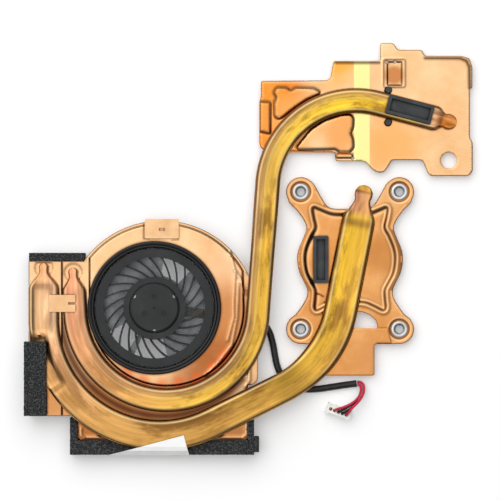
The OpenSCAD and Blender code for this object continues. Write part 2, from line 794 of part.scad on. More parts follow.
// Hollow pressed into the left leg, and the flank flattened under the foam
hollow_d = 0.7;
hollow_from = 7;
hollow_to = 27;
flank_d = 1.6;
flank_from = 4.5;
flank_to = 26;
press_ramp = 2.5;
function pressed(s, from, to) = ease((s - from) / press_ramp) * ease((to - s) / press_ramp);

module heat_pipe_cpu() {
  off_fan = cpu_rows[0][0] + arc(cpu_rows[0]);
  on_plate = off_fan + cpu_rows[1][0] + arc(cpu_rows[1]);
  color("goldenrod") swept([
    for (s = stations(cpu_total, tail_knob_r, cpu_knob_r))
      let (rest = cpu_total - s,
           full = blend(cpu_pipe_w, cpu_pipe_end_w, (s - off_fan - widen_from) / (widen_to - widen_from)),
           w = min(tip_shape(s, tail_knob_r, cpu_tail_flare, full, 2 * neck_share * tail_knob_r),
                   tip_shape(rest, cpu_knob_r, cpu_flare, full, 2 * neck_share * cpu_knob_r)),
           t = min(tip_thickness(s, tail_knob_r, cpu_tail_flare), tip_thickness(rest, cpu_knob_r, cpu_flare)),
           shelf = blend(housing_h, tail_plate_top, (s - off_fan - cpu_drop_from) / (cpu_drop_to - cpu_drop_from)),
           seat = blend(shelf, panel_top, (s - on_plate - cpu_seat_from) / (cpu_seat_to - cpu_seat_from)),
           z = rest > cpu_rise_to ? seat : blend(rim_top, panel_top, (rest - cpu_rise_from) / (cpu_rise_to - cpu_rise_from)),
           hollow = hollow_d * pressed(s, hollow_from, hollow_to),
           flank = flank_d * pressed(s, cpu_tail + flank_from, cpu_tail + flank_to))
      [path_pose(cpu_rows, cpu_start, s), w, t, z + (pipe_t - t) / 2, [hollow, max(hollow, flank)]]
  ]);
}

// Clip that ties both pipes to the left exhaust
pipe_clip_size = [9.4, 6.1];
pipe_clip_t = 0.5;
pipe_clip_slot = [2.6, 0.9];
pipe_clip_back = -1.4;
pipe_clip_stem_w = 0.6;
pipe_clip_share = 0.42;
// Middle of the slit between the two pipes, left of the fan axis
slit_x = (cpu_bend_right - cpu_bend_r + cpu_pipe_w / 2 + gpu_bend_right - gpu_bend_r - gpu_pipe_w / 2
          - pipe_clip_size[1] * tan(gpu_tail_lean)) / 2;

module pipe_clip() {
  back = pipe_clip_back;
  left = slit_x - pipe_clip_share * pipe_clip_size[0];
  color("navajowhite") at_fan() {
    difference() {
      span([left, back, pipe_top], [left + pipe_clip_size[0], back + pipe_clip_size[1], pipe_top + pipe_clip_t]);
      translate([left + pipe_clip_size[0] - pipe_clip_slot[0], back + pipe_clip_size[1] / 2 - pipe_clip_slot[1] / 2,
                 pipe_top - overrun])
        cube([pipe_clip_slot[0] + overrun, pipe_clip_slot[1], pipe_clip_t + 2 * overrun]);
    }
    span([slit_x - pipe_clip_stem_w / 2, back + pipe_clip_t, housing_h],
         [slit_x + pipe_clip_stem_w / 2, back + pipe_clip_size[1] - pipe_clip_t, pipe_top + pipe_clip_t / 2]);
  }
}

/* Processor plate */

// Right half of the plate's outline, as shares of half the screw spacing
cpu_outline_shares = [
  [0, 0.755], [0.34, 0.758], [0.48, 0.81], [0.60, 0.94], [0.78, 1.15], [1.02, 1.16],
  [1.26, 0.90], [1.08, 0.73], [0.95, 0.60], [0.885, 0.475], [0.95, 0.33], [1.05, 0.15],
  [1.072, 0], [1.03, -0.17], [0.93, -0.32], [0.872, -0.42], [0.875, -0.52],
  [0.96, -0.64], [1.10, -0.78], [1.25, -0.90], [1.10, -1.195], [0, -1.2],
];
panel_outline_shares = [
  [0, 0.68], [0.35, 0.685], [0.60, 0.75], [0.72, 0.782], [0.775, 0.745], [0.75, 0.62],
  [0.715, 0.48], [0.80, 0.36], [0.90, 0.18], [0.93, 0.02], [0.89, -0.18], [0.78, -0.34],
  [0.717, -0.44], [0.725, -0.58], [0.735, -0.69], [0.67, -0.735], [0.48, -0.67],
  [0.29, -0.618], [0, -0.61],
];
window_shares = [
  [0, -0.735], [0.24, -0.745], [0.40, -0.79], [0.52, -0.87], [0.556, -0.95], [0.55, -0.985], [0, -0.985],
];
half_pitch = [screw_dx / 2, screw_dy / 2];
wall_slope = 0.7;
plate_curve_steps = 3;

function cpu_curve(shares) = smooth_loop(placed(both_sides(shares), [0, 0], half_pitch), plate_curve_steps);

module each_screw() {
  for (x = [-1, 1], y = [-1, 1]) translate([x * half_pitch[0], y * half_pitch[1]]) children();
}

module cpu_plate() {
  dish_d = cpu_plate_t / 4;
  color("darkorange") difference() {
    union() {
      raised(rim_z, rim_top) {
        polygon(cpu_curve(cpu_outline_shares));
        each_screw() circle(ear_r);
      }
      raised(plate_z, rim_z) offset(delta = wall_slope) polygon(cpu_curve(panel_outline_shares));
    }
    raised(panel_top, rim_top + overrun) polygon(cpu_curve(panel_outline_shares));
    raised(rim_z - overrun, rim_top + overrun) polygon(placed(both_sides(window_shares), [0, 0], half_pitch));
    each_screw() {
      translate([0, 0, rim_top - dish_d]) cylinder(r = dish_r, h = overrun);
      translate([0, 0, rim_z - overrun]) cylinder(r = sleeve_body_r + fit_gap, h = cpu_plate_t + 2 * overrun);
    }
  }
}

block_chamfer = 2;
module cpu_block() {
  color("sandybrown") raised(0, cpu_block_t) offset(delta = block_chamfer, chamfer = true)
    square(cpu_block_w - 2 * block_chamfer, center = true);
}

// A shouldered sleeve, swaged into the plate's end
module screw_sleeve(x, y) {
  body = sleeve_body_r;
  head = sleeve_head_r;
  foot = panel_d / 2;
  dish = rim_top - cpu_plate_t / 4;
  top = dish + sleeve_head_h;
  bevel = sleeve_head_h / 3;
  color("silver") translate([x * half_pitch[0], y * half_pitch[1], 0]) rotate_extrude() polygon([
    [sleeve_bore_r, foot], [body, foot], [body, rim_z - fit_gap],
    [body, dish + fit_gap], [head, dish + fit_gap], [head, top - bevel], [head - bevel, top],
    [sleeve_bore_r + 2 * bevel, top], [sleeve_bore_r, top - 2 * bevel],
  ]);
}

// Chipset plate, as shares of half the screw spacing
tail_plate_shares = [
  [-0.22, -0.985], [0.78, -0.985], [0.80, -1.09], [0.84, -1.205], [0.55, -1.205],
  [0.495, -1.235], [0.495, -1.655], [0.46, -1.675], [-0.6, -1.675], [-0.6, -1.2], [-0.22, -1.16],
];
module chipset_plate() {
  color("darkorange") raised(rim_top, tail_plate_top) difference() {
    polygon(placed(tail_plate_shares, [0, 0], half_pitch));
    each_screw() circle(dish_r + fit_gap);
  }
}

/* Graphics plate */

gpu_origin = [-gpu_plate_left, gpu_plate_back];
gpu_size = [gpu_plate_w, gpu_plate_d];
gpu_outline_shares = [
  [0.566, 1], [0.627, 1], [0.650, 0.948], [0.762, 0.948], [0.776, 0.903], [0.949, 0.903],
  [0.985, 0.885], [0.998, 0.82], [0.998, 0.663], [0.986, 0.655], [0.986, 0.288], [1, 0.251],
  [1, 0.034], [0.981, 0], [0.804, 0], [0.790, 0.019], [0.767, 0.109], [0.753, 0.12],
  [0.622, 0.12], [0.604, 0.071], [0.585, 0.03], [0.562, 0.022], [0.535, 0.04], [0.497, 0.105],
  [0.478, 0.112], [0.361, 0.112], [0.354, 0.131], [0.354, 0.18], [0.03, 0.191], [0.008, 0.205],
  [0, 0.243], [0, 0.558], [0.007, 0.596], [0.007, 0.715], [0.319, 0.719], [0.333, 0.738],
  [0.347, 0.865], [0.557, 0.865], [0.566, 0.873],
];
gpu_corner_r = 0.5;
// Raised pads: two corners each
gpu_pad_shares = [[0.063, 0.177], [0.441, 0.672]];
gpu_side_pad_shares = [[0, 0.311], [0.051, 0.558]];
pad_notch_shares = [[0.147, 0.672], [0.066, 0.581], [0.431, 0.322], [0.345, 0.177]];
pad_notch_r = 1.1;
pad_r = 1.2;
pocket_shares = [[0.592, 0.700], [0.660, 0.845]];
pocket_hole_shares = [[0.597, 0.857], [0.636, 0.857]];
gpu_hole_share = [0.888, 0.116];
small_hole_share = [0.438, 0.131];
// Studs close beside the pipe: distance past its bend, and side
studs = [[2.4, 1], [5.3, -1]];
stud_r = 1.05;
corridor_gap = 0.45;

// Centre of the graphics pipe's bend on the plate
gpu_turn_pose = path_pose(gpu_rows, gpu_start, gpu_rows[0][0] + arc(gpu_rows[0]) + gpu_run);
gpu_turn_centre = beside(gpu_turn_pose, -gpu_turn_r);

function gpu_place(share) = placed([share], gpu_origin, gpu_size)[0];
function stud_place(stud) = let (at = beside(
  path_pose(gpu_rows, gpu_start, gpu_total - gpu_end + stud[0]),
  stud[1] * (gpu_pipe_end_w / 2 + soft_gap + stud_r))) [at[0], at[1]];

module gpu_pads() {
  difference() {
    union() {
      offset(r = pad_r, $fn = 24) offset(delta = -pad_r)
        area(gpu_place(gpu_pad_shares[0]), gpu_place(gpu_pad_shares[1]));
      offset(r = pad_r, $fn = 24) offset(delta = -pad_r)
        area(gpu_place(gpu_side_pad_shares[0]), gpu_place(gpu_side_pad_shares[1]));
    }
    // Road of the pipe between the pads
    translate(gpu_turn_centre) difference() {
      circle(gpu_turn_r + gpu_pipe_end_w / 2 + corridor_gap, $fn = 96);
      circle(gpu_turn_r - gpu_pipe_end_w / 2 - corridor_gap, $fn = 96);
    }
    for (share = pad_notch_shares) translate(gpu_place(share)) circle(pad_notch_r);
  }
}

module gpu_plate() {
  pocket = [gpu_place(pocket_shares[0]), gpu_place(pocket_shares[1])];
  hole_low = plate_z - overrun;
  hole_h = gpu_plate_t + pad_rise + 2 * overrun;
  color("orange") difference() {
    union() {
      raised(plate_z, gpu_top) soften(gpu_corner_r) polygon(placed(gpu_outline_shares, gpu_origin, gpu_size));
      raised(gpu_top - fit_gap, gpu_top + pad_rise) gpu_pads();
    }
    translate([0, 0, gpu_top - gpu_plate_t / 2]) linear_extrude(overrun) area(pocket[0], pocket[1]);
    translate(concat(gpu_place(gpu_hole_share), hole_low)) cylinder(r = gpu_hole_r, h = hole_h);
    translate(concat(gpu_place(small_hole_share), hole_low)) cylinder(r = stud_r / 2, h = hole_h);
    for (share = pocket_hole_shares)
      translate(concat(gpu_place(share), hole_low)) cylinder(r = stud_r / 2, h = hole_h);
    for (stud = studs)
      translate(concat(stud_place(stud), hole_low)) cylinder(r = stud_r + fit_gap, h = hole_h);
  }
}

gpu_block_share = [0.255, 0.425];
module gpu_block() {
  at = gpu_place(gpu_block_share);
  color("sandybrown") translate([at[0], at[1], 0]) linear_extrude(plate_z)
    offset(delta = block_chamfer, chamfer = true) square(gpu_block_w - 2 * block_chamfer, center = true);
}

stud_h = 2.0;
stud_flange = 0.4;
module rubber_studs() {
  color("darkslategray") for (stud = studs) translate(concat(stud_place(stud), 0)) {
    translate([0, 0, plate_z - stud_flange]) cylinder(r = stud_r, h = gpu_plate_t + stud_flange + stud_h);
    translate([0, 0, plate_z - 2 * stud_flange]) cylinder(r = stud_r + stud_flange, h = 2 * stud_flange);
  }
}

memory_pad_places = [0.66, 0.30];
memory_pad_w = 12;
memory_pad_t = 1.4;
module memory_pads() {
  left = stud_place(studs[1])[0] + stud_r + 2 * stud_flange;
  color("lightsteelblue") for (place = memory_pad_places)
    translate([left, gpu_place([0, place])[1] - memory_pad_w / 2, plate_z - memory_pad_t])
      cube([memory_pad_w, memory_pad_w, memory_pad_t]);
}

/* Rubber and foam */

// A rubber block with a shallow hollow in its top
module rubber_block(length, width) {
  difference() {
    linear_extrude(rubber_h) soften(rubber_rim / 4) square([length, width], center = true);
    translate([0, 0, rubber_h - rubber_hollow_d]) linear_extrude(rubber_h)
      square([length - 2 * rubber_rim, width - 2 * rubber_rim], center = true);
  }
}

rubber_gpu_along = 11.6;
rubber_gpu_aside = 0.6;
module rubber_block_gpu() {
  s = gpu_total - gpu_end + rubber_gpu_along;
  pose = path_pose(gpu_rows, gpu_start, s);
  at = beside(pose, rubber_gpu_aside);
  color("darkslategray") translate([at[0], at[1], gpu_top + pipe_t]) rotate([0, 0, pose[2]])
    rubber_block(rubber_gpu_l, rubber_gpu_w);
}

rubber_cpu_share = [-0.595, 0.015];
module rubber_block_cpu() {
  at = placed([rubber_cpu_share], [0, 0], half_pitch)[0];
  color("darkslategray") translate([at[0], at[1], panel_top]) rubber_block(rubber_cpu_w, rubber_cpu_l);
}

foam_front_l = 20.3;
foam_low = 0.6;
module foam_front() {
  color("dimgray") at_fan() difference() {
    span([soft_gap - left_reach, front_reach, foam_low],
         [foam_front_l - left_reach, front_reach + foam_front_t, housing_h + foam_low]);
    translate([scroll_right, -scroll_behind, 0]) cylinder(r = scroll_r + soft_gap, h = pipe_top, $fn = 120);
  }
}

foam_left_front = -12.1;
foam_left_back = -38.8;
foam_left_out = 1.5;
module foam_left() {
  left = -left_reach - foam_left_out;
  color("dimgray") at_fan() difference() {
    union() {
      span([left, foam_left_back, housing_h], [left + foam_left_w, foam_left_front, housing_h + foam_left_h]);
      span([left, foam_left_back, ceiling - lip_h], [-left_reach, foam_left_front, housing_h + foam_left_h]);
    }
    // Bed of the processor pipe's flattened flank
    translate([cpu_bend_right, -cpu_bend_behind, housing_h - overrun]) difference() {
      cylinder(r = cpu_bend_r + cpu_pipe_w / 2 + 2 * soft_gap, h = overrun + pipe_t - flank_d + 4 * soft_gap, $fn = 120);
      translate([0, 0, -overrun]) cylinder(r = cpu_bend_r - cpu_pipe_w, h = pipe_t + 3 * overrun, $fn = 120);
    }
  }
}

foam_split_x = -0.4;
foam_band_top = housing_h - soft_gap;
foam_side_end = -left_box_back - 5 * soft_gap;
module foam_rear_left() {
  back = -rear_reach - foam_rear_d;
  side = -rear_box_left - foam_side_t;
  color("dimgray") at_fan() {
    span([side, back, foam_band_top - foam_rear_h], [foam_split_x, -rear_reach, foam_band_top]);
    span([side, back, foam_low], [-rear_box_left, -rear_reach, foam_band_top]);
    span([side, -rear_reach, foam_low], [-rear_box_left, foam_side_end, foam_band_top]);
  }
}

foam_right_t = 2.2;
foam_tab_w = 1.8;
foam_tab_l = 6.4;
module foam_rear_right() {
  back = -rear_reach - foam_rear_d;
  side = rear_box_right + foam_right_t;
  color("dimgray") at_fan() {
    span([foam_split_x + soft_gap, back, foam_band_top - foam_rear_h], [side, -rear_reach, foam_band_top]);
    span([rear_box_right, back, foam_low], [side, -rear_reach, foam_band_top]);
    span([rear_box_right, -rear_reach, foam_low], [side, foam_side_end, foam_band_top]);
    span([side, back + foam_tab_w / 2, foam_low], [side + foam_tab_w, back + foam_tab_l, foam_band_top]);
  }
}

/* Cable */

// Route of the sleeved part, in the object's frame
cable_z = 1.3;
cable_route = [
  [-33.2, -22.1], [-31.6, -22.8], [-30.2, -24.2], [-29.0, -26.4], [-28.2, -29.0],
  [-27.6, -31.8], [-27.1, -34.8], [-26.4, -38.0], [-25.2, -41.0], [-23.4, -43.6],
  [-21.0, -45.4], [-18.2, -46.4], [-15.0, -46.7], [-11.2, -46.5], [-7.0, -45.9],
  [-2.4, -45.2], [2.4, -44.54],
];
// Routes of the four wires from the sleeve into the connector
wire_routes = [
  [[2.82, -44.99, 1.8], [3.47, -45.08, 2.0], [3.95, -45.75, 2.4], [3.98, -47.03, 3.19], [3.31, -48.84, 4.35],
   [1.84, -50.54, 5.3], [-0.14, -51.86, 5.96], [-2.44, -52.85, 6.23], [-4.3, -53.48, 5.94], [-5.31, -53.88, 5.19],
   [-5.6, -54.17, 4.3]],
  [[2.82, -44.99, 0.8], [3.48, -45.1, 0.94], [3.93, -45.85, 1.31], [3.93, -47.16, 2.11], [3.3, -48.95, 3.26],
   [1.98, -50.7, 4.27], [0.24, -52.21, 4.98], [-1.74, -53.36, 5.36], [-3.21, -54.15, 5.35], [-3.94, -54.57, 4.97],
   [-4.2, -54.7, 4.3]],
  [[2.68, -44.0, 0.8], [3.71, -44.03, 0.91], [4.73, -44.81, 1.12], [5.07, -46.45, 1.63], [4.69, -48.44, 2.47],
   [3.53, -50.35, 3.34], [1.94, -52.02, 4.14], [0.33, -53.3, 4.75], [-1.23, -54.26, 5.06], [-2.32, -55.03, 4.94],
   [-2.8, -55.23, 4.3]],
  [[2.68, -44.0, 1.8], [3.71, -44.03, 1.91], [4.74, -44.78, 2.15], [5.11, -46.34, 2.65], [4.74, -48.29, 3.5],
   [3.67, -50.16, 4.38], [2.3, -51.68, 5.09], [0.93, -53.0, 5.66], [-0.22, -54.3, 5.85], [-1.0, -55.31, 5.38],
   [-1.39, -55.76, 4.3]],
];

// A round tube along points, closed at both ends
tube_sides = 8;
module tube(points, d) {
  n = tube_sides;
  last = len(points) - 1;
  rings = [for (i = [0 : last])
    let (a = points[max(i - 1, 0)], b = points[min(i + 1, last)],
         run = (b - a) / norm(b - a),
         side = cross([0, 0, 1], run) / norm(cross([0, 0, 1], run)),
         up = cross(run, side))
    for (k = [0 : n - 1])
      points[i] + d / 2 * (sin(360 * k / n) * up - cos(360 * k / n) * side)];
  polyhedron(rings, skin(n, last), convexity = 6);
}

module cable_sleeve() {
  color("black") tube([for (p = cable_route) [p[0], p[1], cable_z]], cable_d);
}

module tube_wire(i, shade) {
  color(shade) tube(wire_routes[i], wire_d);
}

plug_at = [-4.2, -54.7];
plug_wall = 0.8;
cavity_r = wire_d / 2 + 2 * soft_gap;
// Top of the cavities, where the wires end
wire_end_z = 4.3;
plug_w = plug_ways * plug_pitch + 2 * plug_wall;
function plug_way(i) = (i - (plug_ways - 1) / 2) * plug_pitch;

module at_plug() {
  translate([plug_at[0], plug_at[1], 0]) rotate([0, 0, plug_turn]) children();
}

module plug_housing() {
  rib = plug_wall / 2;
  color("white") at_plug() difference() {
    union() {
      translate([-plug_w / 2, -plug_d / 2 + rib, 0]) cube([plug_w, plug_d - rib, plug_h]);
      for (x = [-1, 1])
        translate([x * (plug_w / 2 - 2 * rib) - rib, -plug_d / 2, 0]) cube([2 * rib, plug_d, plug_h]);
    }
    for (i = [0 : plug_ways - 1]) translate([plug_way(i), 0, plug_wall])
      cylinder(r = cavity_r, h = plug_h);
  }
}

contact_w = 0.5;
module plug_contacts() {
  color("gold") at_plug() for (i = [0 : plug_ways - 1])
    translate([plug_way(i), 0, plug_wall + contact_w]) cube([contact_w, contact_w, 2 * contact_w], center = true);
}

/* Label */

label_corner = [10.6, 1.9 - rear_reach];
label_fold = 1.3;
label_drop = 4;
label_out = 8;
module label() {
  edge = rear_reach + foam_rear_d + label_t;
  over = pipe_top + fit_gap;
  pipe_edge = cpu_bend_behind + cpu_bend_r + cpu_pipe_w / 2;
  crown = pipe_edge - pipe_t / 2;
  low = foam_band_top + fit_gap;
  color("white") at_fan() intersection() {
    rotate([90, 0, -90]) translate([0, 0, -rear_box_right]) linear_extrude(rear_box_left + rear_box_right) polygon([
      [0, over], [crown, over], [pipe_edge - label_t, over - pipe_t / 6],
      [edge - label_t, low], [edge - label_t, low - label_drop], [edge, low - label_drop],
      [edge, low + label_t], [pipe_edge, over - pipe_t / 6 + label_t], [crown, over + label_t], [0, over + label_t],
    ]);
    translate([label_corner[0], label_corner[1], 0]) rotate([0, 0, label_tilt])
      span([-label_l, -label_out, 0], [0, 0, 2 * pipe_top]);
  }
}

base_plate();
shroud();
exhaust_cover();
shroud_clip();
inlet_ring();
impeller();
rotor_cup();
magnet_ring();
shaft();
bearing_holder();
bearing_sleeve();
thrust_pad();
stator_core();
stator_coils();
motor_board();
fins_left();
fins_rear();
heat_pipe_gpu();
heat_pipe_cpu();
pipe_clip();
cpu_plate();
cpu_block();
chipset_plate();
screw_sleeve(-1, 1);  // screw_sleeve_front_left
screw_sleeve(1, 1);  // screw_sleeve_front_right
screw_sleeve(-1, -1);  // screw_sleeve_rear_left
screw_sleeve(1, -1);  // screw_sleeve_rear_right
gpu_plate();
gpu_block();
memory_pads();
rubber_studs();
rubber_block_gpu();
rubber_block_cpu();
foam_front();
foam_left();
foam_rear_left();
foam_rear_right();
cable_sleeve();
tube_wire(0, "crimson");  // wire_red_left
tube_wire(1, "black");  // wire_black_left
tube_wire(2, "black");  // wire_black_right
tube_wire(3, "crimson");  // wire_red_right
plug_housing();
plug_contacts();
label();
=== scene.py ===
import bpy, math
import numpy as np
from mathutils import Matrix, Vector, geometry


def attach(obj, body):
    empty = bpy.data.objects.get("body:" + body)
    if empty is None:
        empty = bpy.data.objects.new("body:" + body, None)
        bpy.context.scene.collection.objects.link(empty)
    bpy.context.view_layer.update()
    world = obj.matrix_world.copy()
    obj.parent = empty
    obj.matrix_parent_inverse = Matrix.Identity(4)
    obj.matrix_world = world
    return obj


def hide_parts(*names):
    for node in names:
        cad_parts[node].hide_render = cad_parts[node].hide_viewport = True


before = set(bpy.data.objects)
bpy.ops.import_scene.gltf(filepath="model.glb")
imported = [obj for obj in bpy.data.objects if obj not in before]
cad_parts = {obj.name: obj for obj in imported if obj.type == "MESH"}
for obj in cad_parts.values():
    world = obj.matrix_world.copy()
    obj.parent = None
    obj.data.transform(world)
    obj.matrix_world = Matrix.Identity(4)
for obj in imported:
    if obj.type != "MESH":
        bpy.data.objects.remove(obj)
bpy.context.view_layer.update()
mm = 0.001
fanAxis = (-70.6, -17.0)  # centre of the impeller, in mm from the processor's centre
planStep = 0.36  # mm from one line to the next of the grid that small details are placed on


def onGrid(points):  # grid lines to mm
    return [((x - 350.5) * planStep, (260.5 - y) * planStep) for x, y in points]


def fromFan(points):
    return [(x + fanAxis[0], y + fanAxis[1]) for x, y in points]


def fromHex(text):  # sRGB hex to linear
    parts = [int(text[i:i + 2], 16) / 255 for i in (1, 3, 5)]
    return [c / 12.92 if c <= 0.04045 else ((c + 0.055) / 1.055) ** 2.4 for c in parts] + [1]


camera = {"height": 1.0, "lens": 200, "aim": (-0.0362, 0.0038), "planeAt": 0.008}
cam = bpy.data.objects.new("camera", bpy.data.cameras.new("camera"))
bpy.context.scene.collection.objects.link(cam)
cam.data.lens = camera["lens"]
cam.data.clip_start, cam.data.clip_end = 0.05, 20
cam.location = (camera["aim"][0], camera["aim"][1], camera["height"] + camera["planeAt"])
bpy.context.scene.camera = cam


def addNode(tree, kind, settings=None, values=None, links=None, stops=None):
    item = tree.nodes.new(kind)
    for key, value in (settings or {}).items():
        setattr(item, key, value)
    for key, value in (values or {}).items():
        item.inputs[key].default_value = value
    for key, source in (links or {}).items():
        tree.links.new(source, item.inputs[key])
    if stops:
        ramp = item.color_ramp
        while len(ramp.elements) < len(stops):
            ramp.elements.new(0.5)
        for spot, (place, colour) in zip(ramp.elements, stops):
            spot.position = place
            spot.color = fromHex(colour) if isinstance(colour, str) else [colour] * 3 + [1]
    return item


def newFinish(name):
    finish = bpy.data.materials.new(name)
    finish.use_nodes = True
    tree = finish.node_tree
    tree.nodes.clear()
    return finish, tree


def closeFinish(tree, colour, rough, values, bump=None):
    links = {"Base Color": colour, "Roughness": rough}
    if bump:
        links["Normal"] = bump
    skin = addNode(tree, "ShaderNodeBsdfPrincipled", values=values, links=links)
    addNode(tree, "ShaderNodeOutputMaterial", links={"Surface": skin.outputs[0]})


def perMm(size):  # texture scale for a pattern of that size in mm
    return 1 / (size * mm)


# Stains, heat marks and painted shade: a soft round patch of colour for each (x, y, inner and outer radius, colour,
# strength), in mm
def tinted(tree, colour, place, drift, marks):
    flat = addNode(tree, "ShaderNodeVectorMath", {"operation": "MULTIPLY"}, {1: (1, 1, 0)}, {0: place})
    for x, y, near, far, tone, pull in marks:
        away = addNode(tree, "ShaderNodeVectorMath", {"operation": "DISTANCE"}, {1: (x * mm, y * mm, 0)}, {0: flat.outputs[0]})
        wave = addNode(tree, "ShaderNodeMath", {"operation": "MULTIPLY_ADD"}, {1: (far - near) * 0.8 * mm},
                       {0: drift, 2: away.outputs[1]})
        reach = addNode(tree, "ShaderNodeMapRange", {"interpolation_type": "SMOOTHSTEP"},
                        {1: (near + (far - near) * 0.4) * mm, 2: (far + (far - near) * 0.4) * mm, 3: pull, 4: 0}, {0: wave.outputs[0]})
        mixed = addNode(tree, "ShaderNodeMix", {"data_type": "RGBA"}, {7: fromHex(tone)}, {0: reach.outputs[0], 6: colour})
        colour = mixed.outputs[2]
    return colour


def oxideAndPaintedShade(tree, colour, tone="#3d1c0b", reach=1.0, pull=0.8, pale="#ffdcae"):  # dark from oxide and painted shade in pressed lines and painted shade where another piece stands close, painted highlight on ridges
    oxideAndShade = addNode(tree, "ShaderNodeAttribute", {"attribute_name": "oxideAndShade"})  # stands close, pale on polished ridges
    paintedHighlight = addNode(tree, "ShaderNodeMath", {"operation": "MULTIPLY", "use_clamp": True}, {1: -1}, {0: oxideAndShade.outputs["Fac"]})
    colour = addNode(tree, "ShaderNodeMix", {"data_type": "RGBA"}, {7: fromHex(pale)}, {0: paintedHighlight.outputs[0], 6: colour}).outputs[2]
    corner = addNode(tree, "ShaderNodeAmbientOcclusion", {"samples": 12}, {"Distance": reach * mm})
    shut = addNode(tree, "ShaderNodeMapRange", values={1: 0.45, 2: 0.93, 3: pull, 4: 0}, links={0: corner.outputs["AO"]})
    both = addNode(tree, "ShaderNodeMath", {"operation": "MAXIMUM"}, links={0: oxideAndShade.outputs["Fac"], 1: shut.outputs[0]})
    return addNode(tree, "ShaderNodeMix", {"data_type": "RGBA"}, {7: fromHex(tone)}, {0: both.outputs[0], 6: colour}).outputs[2]


# A metal or plastic whose colour drifts between three tones, with a fine grain on top and, where asked, painted shade
# in its corners and pressed lines
def worked(name, tones, patch, grain, rough, metal, stretch=(1, 1, 1), bump=0.1, grainPull=0.35, extra=None, marks=(), paintedShade=None):
    finish, tree = newFinish(name)
    place = addNode(tree, "ShaderNodeTexCoord")
    drawn = addNode(tree, "ShaderNodeMapping", values={"Scale": stretch}, links={"Vector": place.outputs["Object"]})
    cloud = addNode(tree, "ShaderNodeTexNoise", values={"Scale": perMm(patch), "Detail": 4, "Roughness": 0.55},
                    links={"Vector": place.outputs["Object"]})
    fine = addNode(tree, "ShaderNodeTexNoise", values={"Scale": perMm(grain), "Detail": 3, "Roughness": 0.6},
                   links={"Vector": drawn.outputs[0]})
    mixed = addNode(tree, "ShaderNodeMix", values={0: grainPull},
                    links={2: cloud.outputs["Fac"], 3: fine.outputs["Fac"]})
    colour = addNode(tree, "ShaderNodeValToRGB", links={0: mixed.outputs[0]},
                     stops=[(0.34, tones[0]), (0.5, tones[1]), (0.66, tones[2])])
    gloss = addNode(tree, "ShaderNodeMapRange", values={1: 0.3, 2: 0.7, 3: rough[0], 4: rough[1]},
                    links={0: fine.outputs["Fac"]})
    rise = addNode(tree, "ShaderNodeBump", values={"Strength": bump, "Distance": grain * mm * 0.2},
                   links={"Height": fine.outputs["Fac"]})
    shade = tinted(tree, colour.outputs[0], place.outputs["Object"], cloud.outputs["Fac"], marks)
    if paintedShade:
        shade = oxideAndPaintedShade(tree, shade, *paintedShade)
    closeFinish(tree, shade, gloss.outputs[0], {"Metallic": metal, **(extra or {})}, rise.outputs[0])
    return finish


# Bare rolled copper in drifting tones with paler and darker patches; darker and redder on the right of the fan beside
# the pipe from painted shade and painted reflection of the pipe, and painted shade where other pieces stand close
pipeShadeAndReflection = [(fanAxis[0] + 4.4 + 27.4 * math.cos(math.radians(a)), fanAxis[1] - 0.3 + 27.4 * math.sin(math.radians(a)),
            0.3, 3.6, "#f0662e", 0.62) for a in (238, 252, 266, 280, 294, 308, 320)]  # painted shade and painted reflection of the pipe, red-orange beside it
coverCopper = worked("rolled copper sheet", ["#eab27f", "#f6c490", "#fdd6a6"], 16, 0.5, (0.18, 0.3), 1.0, (1, 0.25, 1), 0.025, 0.16,
                     marks=[(-44, -22, 5, 22, "#c5793c", 0.75), (-52, -40, 3, 17, "#a85a26", 0.85), (-92, -52, 4, 26, "#c77a3e", 0.7),
                            (-44, -3, 1, 10, "#f0b184", 0.6), (-112, -50, 2, 14, "#cf8a4c", 0.6), (-66, -62, 6, 24, "#b06a30", 0.5),
                            (-92, -62, 4, 12, "#a8632c", 0.8), (-43, -61.5, 3, 11, "#a8642c", 0.85),
                            (-35, -48, 2, 9, "#ad7040", 0.65)] + pipeShadeAndReflection,
                     paintedShade=("#4a1d0a",))
# The same sheet, cut small and bright, for the clips, with painted shade where they meet other pieces
clipCopper = worked("bright copper strip", ["#e0b080", "#edbf8e", "#f7cfa0"], 7, 0.4, (0.24, 0.3), 1.0, (1, 0.25, 1), 0.005, 0.08, paintedShade=("#4a1d0a",))
# Pressed copper, darker than the cover because it was heated for soldering, with painted shade and painted highlight in
# its pressed lines and painted shade where other pieces stand close
plateCopper = worked("pressed copper plate", ["#d48c4b", "#e29d5a", "#f0b070"], 14, 0.5, (0.18, 0.28), 1.0, (1, 0.3, 1), 0.03, 0.16,
                     marks=[(14, 2, 4, 12, "#c98547", 0.7), (14, 22, 2, 9, "#efb77c", 0.7), (-15, 20, 2, 8, "#e6a365", 0.6),
                            (8, -36, 3, 12, "#d99459", 0.6)], paintedShade=("#4a1d0a",))
# Milled blocks: even, straight tool lines
blockCopper = worked("milled copper", ["#c98a5c", "#d99a6c", "#e3ab80"], 20, 0.4, (0.25, 0.4), 1.0, (8, 0.3, 1), 0.15)
# Foil folded into fins, dull from the fold
finCopper = worked("folded copper foil", ["#c07a4e", "#d08c5e", "#dfa277"], 6, 0.5, (0.3, 0.45), 1.0)
# Steel sheet with the dull grey of its zinc coat
baseSteel = worked("galvanised steel sheet", ["#7c7f81", "#909395", "#a7a9ab"], 5, 0.6, (0.3, 0.45), 1.0)
# Turned on a lathe and plated: nearly white, with a close shine
turnedNickel = worked("turned nickel-plated brass", ["#bcbec0", "#cfd1d2", "#e4e5e6"], 3, 0.2, (0.16, 0.28), 1.0)
# Deep-drawn cup and ground shaft: plain grey steel
drawnSteel = worked("drawn steel", ["#8f9193", "#a2a4a6", "#b6b8ba"], 4, 0.3, (0.25, 0.4), 1.0)
